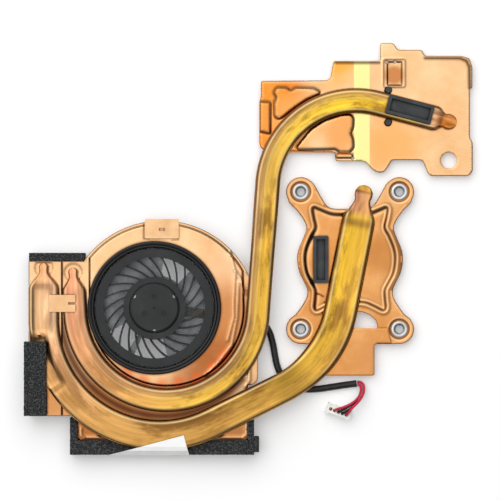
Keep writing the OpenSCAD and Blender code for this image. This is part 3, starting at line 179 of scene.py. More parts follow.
# Bearing holder: yellow brass, fine turning marks
turnedBrass = worked("turned brass", ["#b18c4a", "#c5a05c", "#d6b575"], 4, 0.3, (0.2, 0.35), 1.0)
# Bearing pressed from powder: brown, matt and grainy
sinteredBronze = worked("sintered bronze", ["#7d5a3a", "#946c48", "#a97f58"], 2, 0.2, (0.45, 0.6), 1.0)
# Ring magnet: dark and matt, a powder held in plastic
boundFerrite = worked("plastic-bound ferrite", ["#262526", "#2e2d2e", "#383738"], 3, 0.2, (0.55, 0.7), 0.0)
# Stack of stamped sheets: blue-grey steel
coreSteel = worked("stamped core steel", ["#5f6468", "#6d7276", "#7d8286"], 4, 0.3, (0.35, 0.5), 1.0)
# Wound wire: brown lacquer over copper, with the ridges of the turns
coilCopper = worked("enamelled copper winding", ["#8a4020", "#a4532c", "#bd6b3c"], 3, 0.22, (0.25, 0.4), 1.0, (1, 1, 6), 0.5)
# Motor board under the blades: grey-brown lacquer, dim between the blades
boardBlack = worked("glass-fibre board with grey lacquer", ["#6a665d", "#78736a", "#867f74"], 8, 0.4, (0.3, 0.45), 0.0)
# Blades and hub: black, with the dull sheen of glass fibre at the surface and painted shade in the hub's dimples and
# corners
bladePlastic = worked("moulded glass-filled polyester", ["#161718", "#1e1f20", "#28292a"], 9, 0.35, (0.34, 0.48), 0.0, bump=0.05,
                      extra={"Specular IOR Level": 0.4}, paintedShade=("#020202", 1.4, 0.85))
# Inlet ring: deeper black and glossier than the blades
ringPlastic = worked("moulded polycarbonate", ["#0a0a0b", "#101011", "#171718"], 9, 0.4, (0.18, 0.28), 0.0, bump=0.02,
                     extra={"Specular IOR Level": 0.45})
# Connector: translucent-looking white with soft mould texture
whiteNylon = worked("moulded white nylon", ["#dedcd6", "#e9e8e3", "#f2f1ed"], 5, 0.3, (0.35, 0.5), 0.0, bump=0.05)
# Pad under the shaft: uncoloured nylon
padNylon = worked("natural nylon", ["#cdc9bb", "#d9d5c8", "#e4e1d6"], 4, 0.3, (0.4, 0.5), 0.0)
# Rubber blocks and studs: dull charcoal in drifting tones, with painted shade in their recesses and corners
castRubber = worked("moulded rubber", ["#2c2e30", "#373a3c", "#45484a"], 5, 0.3, (0.5, 0.7), 0.0, bump=0.15,
                    extra={"Specular IOR Level": 0.4}, paintedShade=("#030303", 1.6, 0.95))
# Soft pad: dusty grey-blue, no shine
thermalPad = worked("silicone thermal pad", ["#7e8c98", "#8e9ba6", "#9daab4"], 5, 0.3, (0.6, 0.75), 0.0)
# Sleeve shrunk over the wires: black with faint cross ripples
shrinkSleeve = worked("shrunk polyolefin sleeve", ["#0e0e0f", "#161617", "#212122"], 4, 0.5, (0.3, 0.5), 0.0, bump=0.25)
# Wire insulation, red and black: smooth and slightly waxy
redJacket = worked("red PVC insulation", ["#a80c2c", "#c01038", "#d0264c"], 5, 0.3, (0.25, 0.4), 0.0, bump=0.03)
blackJacket = worked("black PVC insulation", ["#0d0d0e", "#151516", "#202021"], 5, 0.3, (0.25, 0.4), 0.0, bump=0.03)
# Contacts in the connector: warm yellow metal
contactBrass = worked("tinned brass strip", ["#b98e4c", "#cda45f", "#dcba80"], 2, 0.2, (0.25, 0.4), 1.0)
# Bare label: smooth coated paper, a shade off white
labelPaper = worked("coated label paper", ["#eeeeec", "#f4f4f3", "#fafaf9"], 8, 0.15, (0.5, 0.65), 0.0, bump=0.06)


# Open-cell foam: round pits of about half a millimetre, lighter where their walls catch light
def cutFoam(name, spec):
    finish, tree = newFinish(name)
    place = addNode(tree, "ShaderNodeTexCoord")
    pits = addNode(tree, "ShaderNodeTexVoronoi", values={"Scale": perMm(spec["pit"])}, links={"Vector": place.outputs["Object"]})
    dust = addNode(tree, "ShaderNodeTexNoise", values={"Scale": perMm(spec["pit"] * 0.6), "Detail": 3, "Roughness": 0.7},
                   links={"Vector": place.outputs["Object"]})
    mixed = addNode(tree, "ShaderNodeMix", values={0: 0.55}, links={2: pits.outputs["Distance"], 3: dust.outputs["Fac"]})
    colour = addNode(tree, "ShaderNodeValToRGB", links={0: mixed.outputs[0]},
                     stops=[(0.3, spec["tones"][0]), (0.48, spec["tones"][1]), (0.62, spec["tones"][2])])
    rise = addNode(tree, "ShaderNodeBump", values={"Strength": 0.9, "Distance": spec["pit"] * mm * 0.5},
                   links={"Height": mixed.outputs[0]})
    matt = addNode(tree, "ShaderNodeMapRange", values={1: 0.3, 2: 0.7, 3: 0.85, 4: 1.0}, links={0: dust.outputs["Fac"]})
    closeFinish(tree, colour.outputs[0], matt.outputs[0], {}, rise.outputs[0])
    return finish


foamBlack = cutFoam("cut polyurethane foam", {"pit": 0.55, "tones": ["#0c0c0d", "#1f2021", "#484949"]})


# Copper tube, drawn, flattened and tempered by heat: gold and olive in long streaks, pink where it stayed cool; painted
# highlight lines along it, painted shade on its rounded sides and where it meets other pieces
def temperedTube(name, spec):
    finish, tree = newFinish(name)
    chart = addNode(tree, "ShaderNodeTexCoord")
    split = addNode(tree, "ShaderNodeSeparateXYZ", links={0: chart.outputs["UV"]})
    along, across = split.outputs[0], split.outputs[1]
    share = addNode(tree, "ShaderNodeMath", {"operation": "DIVIDE"}, {1: spec["length"] * mm}, {0: along})
    heat = addNode(tree, "ShaderNodeValToRGB", links={0: share.outputs[0]}, stops=spec["heat"])
    longWay = addNode(tree, "ShaderNodeMapping", values={"Scale": (0.3, 1, 1)}, links={"Vector": chart.outputs["UV"]})
    blotch = addNode(tree, "ShaderNodeTexNoise", values={"Scale": perMm(spec["blotch"]), "Detail": 6, "Roughness": 0.65},
                     links={"Vector": longWay.outputs[0]})
    cover = addNode(tree, "ShaderNodeMapRange", values={1: 0.48, 2: 0.58, 3: 0, 4: spec["blotchPull"]},
                    links={0: blotch.outputs["Fac"]})
    worn = addNode(tree, "ShaderNodeMapRange", values={1: 0.0, 2: 0.35, 3: 0.3, 4: 1.0}, links={0: share.outputs[0]})
    brown = addNode(tree, "ShaderNodeMath", {"operation": "MULTIPLY"}, links={0: cover.outputs[0], 1: worn.outputs[0]})
    stained = addNode(tree, "ShaderNodeMix", {"data_type": "RGBA"}, {7: fromHex(spec["stain"])},
                      {0: brown.outputs[0], 6: heat.outputs[0]})
    spread = addNode(tree, "ShaderNodeMath", {"operation": "MULTIPLY_ADD"}, {1: 0.5 / (spec["halfWidth"] * mm), 2: 0.5}, {0: across})
    sway = addNode(tree, "ShaderNodeMath", {"operation": "MULTIPLY_ADD"}, {1: 0.16}, {0: blotch.outputs["Fac"], 2: spread.outputs[0]})
    band = addNode(tree, "ShaderNodeValToRGB", links={0: sway.outputs[0]}, stops=spec["bandPull"])
    banded = addNode(tree, "ShaderNodeMix", {"data_type": "RGBA"}, {7: fromHex(spec["band"])},
                     {0: band.outputs[0], 6: stained.outputs[2]})
    streakWay = addNode(tree, "ShaderNodeMapping", values={"Scale": (0.05, 1, 1)}, links={"Vector": chart.outputs["UV"]})
    streak = addNode(tree, "ShaderNodeTexNoise", values={"Scale": perMm(spec["streak"]), "Detail": 4, "Roughness": 0.65},
                     links={"Vector": streakWay.outputs[0]})
    shade = addNode(tree, "ShaderNodeMapRange", values={1: 0.3, 2: 0.7, 3: 0.78, 4: 1.32}, links={0: streak.outputs["Fac"]})
    streaked = addNode(tree, "ShaderNodeVectorMath", {"operation": "SCALE"}, links={0: banded.outputs[2], 3: shade.outputs[0]})
    # darker towards the rounded sides: painted shade
    side = addNode(tree, "ShaderNodeMath", {"operation": "ABSOLUTE"}, links={0: across})
    rim = addNode(tree, "ShaderNodeMath", {"operation": "DIVIDE"}, {1: spec["halfWidth"] * mm}, {0: side.outputs[0]})
    edge = addNode(tree, "ShaderNodeValToRGB", links={0: rim.outputs[0]}, stops=[(0.0, 0.0), (0.74, 0.0), (0.9, 0.7), (1.0, 0.95)])
    shine = streaked.outputs[0]
    for at, width, pull in spec["paintedGlints"]:  # painted highlights: thin bright lines along the tube where the rounding starts
        off = addNode(tree, "ShaderNodeMath", {"operation": "SUBTRACT"}, {1: at * mm}, {0: across})
        far = addNode(tree, "ShaderNodeMath", {"operation": "ABSOLUTE"}, links={0: off.outputs[0]})
        line = addNode(tree, "ShaderNodeMapRange", {"interpolation_type": "SMOOTHSTEP"}, {1: 0, 2: width * mm, 3: pull, 4: 0},
                       {0: far.outputs[0]})
        shine = addNode(tree, "ShaderNodeMix", {"data_type": "RGBA"}, {7: fromHex("#fff0b8")}, {0: line.outputs[0], 6: shine}).outputs[2]
    edged = addNode(tree, "ShaderNodeMix", {"data_type": "RGBA"}, {7: fromHex(spec["edge"])}, {0: edge.outputs[0], 6: shine})
    gloss = addNode(tree, "ShaderNodeMapRange", values={1: 0.3, 2: 0.7, 3: spec["rough"][0], 4: spec["rough"][1]},
                    links={0: blotch.outputs["Fac"]})
    rise = addNode(tree, "ShaderNodeBump", values={"Strength": 0.12, "Distance": 0.0001}, links={"Height": streak.outputs["Fac"]})
    # painted shade where the tube meets other pieces
    closeFinish(tree, oxideAndPaintedShade(tree, edged.outputs[2], "#3a1c0a", 0.9), gloss.outputs[0], {"Metallic": 1.0}, rise.outputs[0])
    return finish


def writePiece(name, points, faces, finish, body="frame", replaces=(), angle=32, chart=None, oxideAndShade=None):
    name = name.replace(" ", "_")
    mesh = bpy.data.meshes.new(name)
    mesh.from_pydata([(x * mm, y * mm, z * mm) for x, y, z in points], [], faces)
    mesh.validate()
    if chart:
        layer = mesh.uv_layers.new(name="chart")
        for loop in mesh.loops:
            layer.data[loop.index].uv = chart[loop.vertex_index]
    if oxideAndShade is not None:  # how dark each point is from oxide and painted shade in the pressed lines, and below zero how pale from painted highlight
        layer = mesh.attributes.new("oxideAndShade", "FLOAT", "POINT")
        layer.data.foreach_set("value", oxideAndShade)
    mesh.materials.append(finish)
    mesh.shade_smooth()
    mesh.set_sharp_from_angle(angle=math.radians(angle))
    piece = bpy.data.objects.new(name, mesh)
    bpy.context.scene.collection.objects.link(piece)
    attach(piece, body)
    if replaces:
        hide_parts(*replaces)
    return piece


def arcPoints(centre, r, start, end, steps):
    return [(centre[0] + r * math.cos(math.radians(start + (end - start) * i / steps)),
             centre[1] + r * math.sin(math.radians(start + (end - start) * i / steps))) for i in range(steps + 1)]


def rounded(points, r, steps=5):  # closed outline with its corners rounded
    out = []
    n = len(points)
    for i in range(n):
        a, b, c = (Vector(points[(i + k) % n]) for k in (-1, 0, 1))
        p, q = (a - b), (c - b)
        reach = min(r, p.length * 0.45, q.length * 0.45)
        start, end = b + p.normalized() * reach, b + q.normalized() * reach
        for k in range(steps + 1):
            t = k / steps
            out.append(tuple(start * (1 - t) ** 2 + b * 2 * t * (1 - t) + end * t * t))
    return out


def smoothLoop(points, steps):  # closed smooth curve through points
    out = []
    n = len(points)
    for i in range(n):
        a, b, c, d = (np.array(points[(i + k) % n], float) for k in (-1, 0, 1, 2))
        for k in range(steps):
            t = k / steps
            out.append(tuple(0.5 * (2 * b + (c - a) * t + (2 * a - 5 * b + 4 * c - d) * t * t
                                    + (3 * b - a - 3 * c + d) * t ** 3)))
    return out


def divided(loop, step, closed=True):  # points no further apart than step
    out = []
    n = len(loop)
    for i in range(n if closed else n - 1):
        a, b = np.array(loop[i]), np.array(loop[(i + 1) % n])
        parts = max(1, int(math.ceil(np.linalg.norm(b - a) / step)))
        out += [tuple(a + (b - a) * k / parts) for k in range(parts)]
    return out if closed else out + [tuple(loop[-1])]


def distanceTo(points, line, closed=True):
    best = np.full(len(points), 1e9)
    n = len(line)
    for i in range(n if closed else n - 1):
        a, b = np.array(line[i], float), np.array(line[(i + 1) % n], float)
        run = b - a
        t = np.clip(((points - a) @ run) / max(run @ run, 1e-12), 0, 1)
        best = np.minimum(best, np.hypot(*(points - a - t[:, None] * run).T))
    return best


def inside(points, loop):
    hit = np.zeros(len(points), bool)
    n = len(loop)
    for i in range(n):
        (x1, y1), (x2, y2) = loop[i], loop[(i + 1) % n]
        if y1 == y2:
            continue
        span = (y1 > points[:, 1]) != (y2 > points[:, 1])
        hit ^= span & (points[:, 0] < (x2 - x1) * (points[:, 1] - y1) / (y2 - y1) + x1)
    return hit


def depthIn(points, loop):  # distance to the loop, positive inside it
    return np.where(inside(points, loop), 1, -1) * distanceTo(points, loop)


def eased(t):
    t = np.clip(t, 0, 1)
    return t * t * (3 - 2 * t)


def bead(points, line, width, height, closed=False):  # a pressed line, as a height
    return height * np.exp(-(distanceTo(points, line, closed) / width) ** 2)


def shifted(loop, by):  # closed loop moved inwards along its normals
    out = []
    n = len(loop)
    area = sum(loop[i][0] * loop[(i + 1) % n][1] - loop[(i + 1) % n][0] * loop[i][1] for i in range(n))
    sign = 1 if area > 0 else -1
    for i in range(n):
        a, b, c = (np.array(loop[(i + k) % n], float) for k in (-1, 0, 1))
        p, q = (b - a) / max(np.linalg.norm(b - a), 1e-9), (c - b) / max(np.linalg.norm(c - b), 1e-9)
        normal = np.array([-(p[1] + q[1]), p[0] + q[0]])
        size = np.linalg.norm(normal)
        normal = normal / size if size > 1e-6 else np.array([-p[1], p[0]])
        reach = by / max(0.5, abs(normal @ np.array([-p[1], p[0]])))
        out.append(tuple(b + sign * normal * reach))
    return out


# A sheet pressed to the heights that top gives, with its edge rounded over. Close points follow each pressed line
def pressedSheet(outline, holes, top, thickness, step, edge=0.18, edgeDrop=0.12, lines=(), offsets=(-0.6, -0.3, 0, 0.3, 0.6)):
    loops = [divided(outline, step)] + [divided(h, step) for h in holes]
    low = np.min(np.array(outline), 0)
    high = np.max(np.array(outline), 0)
    rows = np.arange(low[1], high[1], step * 0.866)
    grid = np.array([(x + (step / 2 if i % 2 else 0), y) for i, y in enumerate(rows)
                     for x in np.arange(low[0], high[0] + step, step)])
    keep = inside(grid, loops[0])
    for hole in loops[1:]:
        keep &= ~inside(grid, hole)
    grid = grid[keep]
    near = np.min([distanceTo(grid, loop) for loop in loops], 0)
    grid = grid[near > edge + step * 0.4]
    rim = []
    for line in lines:
        grid = grid[distanceTo(grid, line) > max(offsets) + step * 0.35]
        close = divided(line, 0.42)
        for by in offsets:
            ring = np.array(shifted(close, by))
            ring = ring[inside(ring, loops[0])]
            away = np.min([distanceTo(ring, other) for other in loops], 0)
            off = distanceTo(ring, line) > abs(by) - 0.06
            rim += [tuple(p) for p in ring[(away > edge * 1.6) & off]]
    for k, loop in enumerate(loops):
        ring = np.array(shifted(loop, edge if k == 0 else -edge))
        away = np.min([distanceTo(ring, other) for other in loops], 0)
        rim += [tuple(p) for p in ring[away > edge * 0.8]]
    flat, edges = [], []
    for loop in loops:
        first = len(flat)
        flat += [Vector(p) for p in loop]
        edges += [(first + i, first + (i + 1) % len(loop)) for i in range(len(loop))]
    border = len(flat)
    flat += [Vector(p) for p in rim] + [Vector(p) for p in grid]
    spots, _, tris, from_, _, _ = geometry.delaunay_2d_cdt(flat, edges, [], 0, 1e-5)
    spots = np.array([tuple(p) for p in spots])
    middle = np.array([spots[list(t)].mean(0) for t in tris])
    good = inside(middle, loops[0])
    for hole in loops[1:]:
        good &= ~inside(middle, hole)
    tris = [t for t, g in zip(tris, good) if g]
    heights = top(spots)
    atEdge = np.array([any(i < border for i in source) for source in from_])
    upper = heights - edgeDrop * atEdge
    n = len(spots)
    points = [(x, y, z) for (x, y), z in zip(spots, upper)] + [(x, y, z - thickness) for (x, y), z in zip(spots, heights)]
    faces, sides = [], {}
    for t in tris:
        a, b, c = spots[t[0]], spots[t[1]], spots[t[2]]
        if (b[0] - a[0]) * (c[1] - a[1]) - (b[1] - a[1]) * (c[0] - a[0]) < 0:
            t = (t[0], t[2], t[1])
        faces += [tuple(t), (t[2] + n, t[1] + n, t[0] + n)]
        for e in ((t[0], t[1]), (t[1], t[2]), (t[2], t[0])):
            sides[e] = True
    faces += [(b, a, a + n, b + n) for a, b in sides if (b, a) not in sides]
    return points, faces


# Oxide and painted shade in the pressed lines, and painted highlight (below zero): closed lines (line, offset, width,
# strength), open runs (line, width, strength)
def oxideAndShadeOf(points, lines, outline=None, runs=()):
    flat = np.array([p[:2] for p in points])
    bands = [((depthIn(flat, line) - by) / width, pull) for line, by, width, pull in lines]
    bands += [(distanceTo(flat, line, False) / width, pull) for line, width, pull in runs]
    dark = np.zeros(len(flat))
    pale = np.zeros(len(flat))
    for far, pull in bands:
        if pull > 0:
            dark = np.maximum(dark, pull * np.exp(-far ** 2))
        else:
            pale = np.minimum(pale, pull * np.exp(-far ** 2))
    # painted shade: a dark line along the outline
    if outline is not None:
        dark = np.maximum(dark, 0.75 * np.exp(-(distanceTo(flat, outline) / 0.22) ** 2))
    return np.where(dark > -0.6 * pale, dark, pale)


# A wall of sheet under one stretch of an outline, inner side offset by its thickness
def standingWall(points, faces, line, low, high, thickness, side=1):
    line = np.array(line, float)
    run = np.gradient(line, axis=0)
    run /= np.maximum(np.linalg.norm(run, axis=1), 1e-9)[:, None]
    inner = line + side * thickness * np.stack([-run[:, 1], run[:, 0]], 1)
    first = len(points)
    for p, q in zip(line, inner):
        points += [(p[0], p[1], high), (p[0], p[1], low), (q[0], q[1], low), (q[0], q[1], high)]
    for i in range(len(line) - 1):
        a, b = first + 4 * i, first + 4 * i + 4
        faces += [(a + k, b + k, b + (k + 1) % 4, a + (k + 1) % 4) for k in range(4)]
    faces += [(first, first + 1, first + 2, first + 3), tuple(first + 4 * len(line) - 4 + k for k in (3, 2, 1, 0))]


def lathePiece(name, profile, centre, finish, steps=128, **rest):  # profile of (r, z), closed
    points, faces = [], []
    n = len(profile)
    for i in range(steps):
        a = 2 * math.pi * i / steps
        points += [(centre[0] + r * math.cos(a), centre[1] + r * math.sin(a), z) for r, z in profile]
    for i in range(steps):
        for k in range(n):
            a, b = i * n + k, i * n + (k + 1) % n
            c, d = ((i + 1) % steps) * n + (k + 1) % n, ((i + 1) % steps) * n + k
            faces.append((a, d, c, b))
    return writePiece(name, points, faces, finish, **rest)


cable = {"bore": 2.5, "z": 1.3, "wire": 0.9,
         "route": [(-33.2, -22.1), (-31.6, -22.8), (-30.2, -24.2), (-29.0, -26.4), (-28.2, -29.0), (-27.6, -31.8),
                   (-27.1, -34.8), (-26.4, -38.0), (-25.2, -41.0), (-23.4, -43.6), (-21.0, -45.4), (-18.2, -46.4),
                   (-15.0, -46.7), (-11.2, -46.5), (-7.0, -45.9), (-2.4, -45.2), (2.4, -44.54)],
         "wires": {
             "wire_red_left": [(2.82, -44.99, 1.8), (3.47, -45.08, 2.0), (3.95, -45.75, 2.4), (3.98, -47.03, 3.19),
                               (3.31, -48.84, 4.35), (1.84, -50.54, 5.3), (-0.14, -51.86, 5.96), (-2.44, -52.85, 6.23),
                               (-4.3, -53.48, 5.94), (-5.31, -53.88, 5.19), (-5.6, -54.17, 4.3)],
             "wire_black_left": [(2.82, -44.99, 0.8), (3.48, -45.1, 0.94), (3.93, -45.85, 1.31), (3.93, -47.16, 2.11),
                                 (3.3, -48.95, 3.26), (1.98, -50.7, 4.27), (0.24, -52.21, 4.98), (-1.74, -53.36, 5.36),
                                 (-3.21, -54.15, 5.35), (-3.94, -54.57, 4.97), (-4.2, -54.7, 4.3)],
             "wire_black_right": [(2.68, -44.0, 0.8), (3.71, -44.03, 0.91), (4.73, -44.81, 1.12), (5.07, -46.45, 1.63),
                                  (4.69, -48.44, 2.47), (3.53, -50.35, 3.34), (1.94, -52.02, 4.14), (0.33, -53.3, 4.75),
                                  (-1.23, -54.26, 5.06), (-2.32, -55.03, 4.94), (-2.8, -55.23, 4.3)],
             "wire_red_right": [(2.68, -44.0, 1.8), (3.71, -44.03, 1.91), (4.74, -44.78, 2.15), (5.11, -46.34, 2.65),
                                (4.74, -48.29, 3.5), (3.67, -50.16, 4.38), (2.3, -51.68, 5.09), (0.93, -53.0, 5.66),
                                (-0.22, -54.3, 5.85), (-1.0, -55.31, 5.38), (-1.39, -55.76, 4.3)]}}


def smoothLine(points, steps=6):  # open smooth curve through points
    padded = [2 * np.array(points[0], float) - np.array(points[1], float)] + [np.array(p, float) for p in points]
    padded.append(2 * padded[-1] - padded[-2])
    out = []
    for i in range(1, len(padded) - 2):
        a, b, c, d = padded[i - 1:i + 3]
        for k in range(steps):
            t = k / steps
            out.append(0.5 * (2 * b + (c - a) * t + (2 * a - 5 * b + 4 * c - d) * t * t + (3 * b - a - 3 * c + d) * t ** 3))
    return out + [padded[-2]]


def roundTube(name, line, across, finish, sides=14, sag=None, **rest):
    points, faces = [], []
    last = len(line) - 1
    for i, p in enumerate(line):
        run = line[min(i + 1, last)] - line[max(i - 1, 0)]
        run /= np.linalg.norm(run)
        side = np.cross((0, 0, 1), run)
        side /= np.linalg.norm(side)
        up = np.cross(run, side)
        r = across / 2 * (sag(i / last) if sag else 1)
        points += [tuple(p + r * (math.cos(2 * math.pi * k / sides) * side + math.sin(2 * math.pi * k / sides) * up))
                   for k in range(sides)]
    for i in range(last):
        for k in range(sides):
            a, b = i * sides + k, i * sides + (k + 1) % sides
            faces.append((a, b, b + sides, a + sides))
    faces += [tuple(range(sides - 1, -1, -1)), tuple(last * sides + k for k in range(sides))]
    return writePiece(name, points, faces, finish, **rest)


cableLine = smoothLine([(x, y, cable["z"]) for x, y in cable["route"]])
sleeve = roundTube("woven cable sleeve", cableLine, cable["bore"], shrinkSleeve, 18,
                   lambda t: 0.985 + 0.015 * math.sin(160 * t), replaces=["cable_sleeve"], angle=60)
for name, route in cable["wires"].items():
    jacket = redJacket if "red" in name else blackJacket
    roundTube(name.replace("_", " ").replace("wire", "lead"), smoothLine(route), cable["wire"], jacket,
                           replaces=[name], angle=60)


gpuPipe = {"rows": [(16.5, 32.9, 172.7), (48.2, 31.9, -100.3), (29.3, 31.9, 0)], "bend": (4.4, -0.3), "width": 8.6,
           "endWidth": 9.0, "widen": (20, 40), "knobs": (1.8, 2.9), "flares": (6.0, 3.4), "leg": 21, "landed": 46, "rest": 3.0}
cpuPipe = {"rows": [(20.2, 41.8, 116.4), (28.8, 38.5, 52.4), (46.7, 38.5, 0)], "bend": (2.0, -4.0), "width": 11.0,
           "endWidth": 12.2, "widen": (30, 50), "knobs": (1.8, 3.35), "flares": (6.5, 8.6), "leg": 22, "landed": 43, "rest": 3.9}
pipes = {"thickness": 3.0, "shelf": 8.0, "neck": 0.86, "sag": 0.16, "step": 1.1}


def ahead(pose, d):
    a = math.radians(pose[2])
    return (pose[0] + d * math.cos(a), pose[1] + d * math.sin(a), pose[2])


def beside(pose, d):
    a = math.radians(pose[2])
    return (pose[0] - d * math.sin(a), pose[1] + d * math.cos(a))


def turned(pose, r, a):
    side = 1 if a > 0 else -1
    c = beside(pose, side * r)
    b = math.radians(pose[2] + a)
    return (c[0] + side * r * math.sin(b), c[1] - side * r * math.cos(b), pose[2] + a)


def poseAt(rows, pose, s):
    for length, r, a in rows:
        if s <= length:
            return ahead(pose, s)
        bent = math.pi * r * abs(a) / 180
        pose, s = ahead(pose, length), s - length
        if s <= bent:
            return turned(pose, r, a * s / bent)
        if a:
            pose, s = turned(pose, r, a), s - bent
    return ahead(pose, s)


def pathLength(rows):
    return sum(length + math.pi * r * abs(a) / 180 for length, r, a in rows)


def blendTo(a, b, t):
    return a + (b - a) * (1 - math.cos(math.pi * min(max(t, 0), 1))) / 2


def tipWidth(d, knob, flare, full):  # sealed knob, neck, then the flare
    reach = knob * (1 + math.sqrt(1 - pipes["neck"] ** 2))
    if d < reach:
        return 2 * math.sqrt(max(0, knob ** 2 - (d - knob) ** 2))
    return blendTo(2 * pipes["neck"] * knob, full, (d - reach) / flare)


def tipThickness(d, knob, flare):
    thin = pipes["thickness"] * 0.6
    if d < knob:
        return thin * (0.6 + 0.4 * d / knob)
    return blendTo(thin, pipes["thickness"], (d - 1.4 * knob) / flare)


def flatPipe(name, rows, start, spec, zAt, pressAt, finish, replaces):
    total = pathLength(rows)
    stations = [k * 0.06 for k in range(1, 4)] + [0.3, 0.5, 0.75, 1.0]
    stations += list(np.arange(1.4, total - 1.4, pipes["step"])) + [total - d for d in (1.0, 0.75, 0.5, 0.3, 0.18, 0.12, 0.06)]
    points, faces, chart = [], [], []
    arcs = [math.radians(a) for a in np.linspace(-90, 90, 11)]
    flats = [0.9, 0.72, 0.5, 0.25, 0, -0.25, -0.5, -0.72, -0.9]
    n = 2 * len(arcs) + 2 * len(flats)
    for s in stations:
        rest = total - s
        off = rows[0][0] + math.pi * rows[0][1] * rows[0][2] / 180
        flare = spec["widen"]
        full = blendTo(spec["width"], spec["endWidth"], (s - off - flare[0]) / (flare[1] - flare[0]))
        w = min(tipWidth(s, spec["knobs"][0], spec["flares"][0], full), tipWidth(rest, spec["knobs"][1], spec["flares"][1], full))
        t = min(tipThickness(s, spec["knobs"][0], spec["flares"][0]), tipThickness(rest, spec["knobs"][1], spec["flares"][1]))
        low = zAt(s, rest) + (pipes["thickness"] - t) / 2
        pose = poseAt(rows, start, s)
        r = min(t / 2, w / 2 * 0.98)
        c = w / 2 - r
        sag = pipes["sag"] * min(1, c / 3)
        ring = [(c + r * math.cos(a), t / 2 * (1 + math.sin(a))) for a in arcs]
        ring += [(c * f, t - sag * (1 - f * f) ** 0.7) for f in flats]
        ring += [(-c - r * math.cos(a), t / 2 * (1 - math.sin(a))) for a in arcs]
        ring += [(-c * f, 0) for f in flats]
        for x, z in ring:
            z -= pressAt(s, x, z, t)
            at = beside(pose, -x)
            points.append((at[0], at[1], low + z))
            chart.append((s * mm, x * mm))
    last = len(stations) - 1
    for i in range(last):
        for k in range(n):
            a, b = i * n + k, i * n + (k + 1) % n
            faces.append((a, a + n, b + n, b))
    faces += [tuple(range(n)), tuple(last * n + k for k in range(n - 1, -1, -1))]
    return writePiece(name, points, faces, finish, replaces=replaces, angle=50, chart=chart)


def startOf(spec, rows, heading):
    cx, cy = spec["bend"][0] + fanAxis[0], spec["bend"][1] + fanAxis[1]
    a, r = math.radians(heading), rows[0][1]
    return ahead((cx + r * math.sin(a), cy - r * math.cos(a), heading), -rows[0][0])


gpuLeg = gpuPipe["rows"][0][0] + math.pi * gpuPipe["rows"][0][1] * gpuPipe["rows"][0][2] / 180
cpuLeg = cpuPipe["rows"][0][0] + math.pi * cpuPipe["rows"][0][1] * cpuPipe["rows"][0][2] / 180
cpuLanding = cpuLeg + cpuPipe["rows"][1][0] + math.pi * cpuPipe["rows"][1][1] * cpuPipe["rows"][1][2] / 180
gpuLength, cpuLength = pathLength(gpuPipe["rows"]), pathLength(cpuPipe["rows"])
gpuStart = startOf(gpuPipe, gpuPipe["rows"], -87)
cpuStart = startOf(cpuPipe, cpuPipe["rows"], -90)

# Graphics pipe: pink at its cool tail and inner side, gold on the outer side, orange at the knob; the dark ring at the
# knob's neck is painted shade
gpuTube = temperedTube("tempered copper tube, graphics", {
    "length": gpuLength, "halfWidth": 4.5, "blotch": 8, "blotchPull": 0.75, "streak": 1.1, "stain": "#845a28",
    "band": "#b98a66", "bandPull": [(0.0, 0.85), (0.3, 0.6), (0.48, 0.0), (1.0, 0.0)],
    "edge": "#8f5c2c", "rough": (0.2, 0.36), "paintedGlints": [(-0.9, 0.5, 0.2), (-3.3, 0.6, 0.3), (3.25, 0.6, 0.35)],
    "heat": [(0.0, "#e29c74"), (0.06, "#e09b74"), (0.16, "#dfa068"), (0.3, "#e0b04a"), (0.55, "#d2a33c"), (0.7, "#d6aa4c"),
             (0.82, "#efc23a"), (0.935, "#f3c33c"), (0.955, "#e8b98a"), (0.971, "#dd9f74"), (0.975, "#6b3a18"), (0.98, "#f39040"),
             (1.0, "#f59a48")]})
# Processor pipe: tan and brown in the middle, gold near the plate, pink where it is crimped; the darker band where it
# reaches full width and the dark line at the crimp are painted shade
cpuTube = temperedTube("tempered copper tube, processor", {
    "length": cpuLength, "halfWidth": 6.0, "blotch": 9, "blotchPull": 0.8, "streak": 1.3, "stain": "#825629",
    "band": "#c29148", "bandPull": [(0.0, 0.0), (0.4, 0.0), (0.62, 0.35), (1.0, 0.5)],
    "edge": "#93602f", "rough": (0.2, 0.36), "paintedGlints": [(-4.5, 0.7, 0.4), (4.5, 0.6, 0.3)],
    "heat": [(0.0, "#e8a57b"), (0.07, "#fccfa4"), (0.17, "#f3b583"), (0.3, "#dba460"), (0.45, "#cb9a52"), (0.6, "#d0a044"),
             (0.78, "#ebba3c"), (0.925, "#f4c23c"), (0.935, "#b98a3a"), (0.945, "#eebf48"), (0.956, "#d0936a"), (0.984, "#d89a76"),
             (0.989, "#6d4322"), (0.993, "#e0ac4a"), (1.0, "#d9a04c")]})


def gpuZ(s, rest):
    return blendTo(pipes["shelf"], gpuPipe["rest"], (s - gpuLeg - gpuPipe["leg"]) / (gpuPipe["landed"] - gpuPipe["leg"]))


def cpuZ(s, rest):
    if rest < 16:
        return blendTo(3.4, 3.0, (rest - 11.5) / 4.5)
    z = blendTo(pipes["shelf"], cpuPipe["rest"], (s - cpuLeg - cpuPipe["leg"]) / (cpuPipe["landed"] - cpuPipe["leg"]))
    return blendTo(z, 3.0, (s - cpuLanding - 2.2) / 7.3)


def ramp01(t):
    t = min(max(t, 0), 1)
    return t * t * (3 - 2 * t)


def gpuPress(s, x, z, t):
    return 0


def cpuPress(s, x, z, t):  # the hollow in the leg, then the flank under the foam
    if z < t * 0.3:
        return 0
    hollow = 0.7 * ramp01((s - 7) / 2.5) * ramp01((27 - s) / 2.5) * ramp01((4.0 - abs(x - 0.6)) / 1.4)
    flank = ramp01((s - 24.7) / 2.5) * ramp01((46.2 - s) / 2.5) * ramp01((x + 1.2) / 1.6)
    return max(hollow, flank * max(0, z - (t - 1.6)))


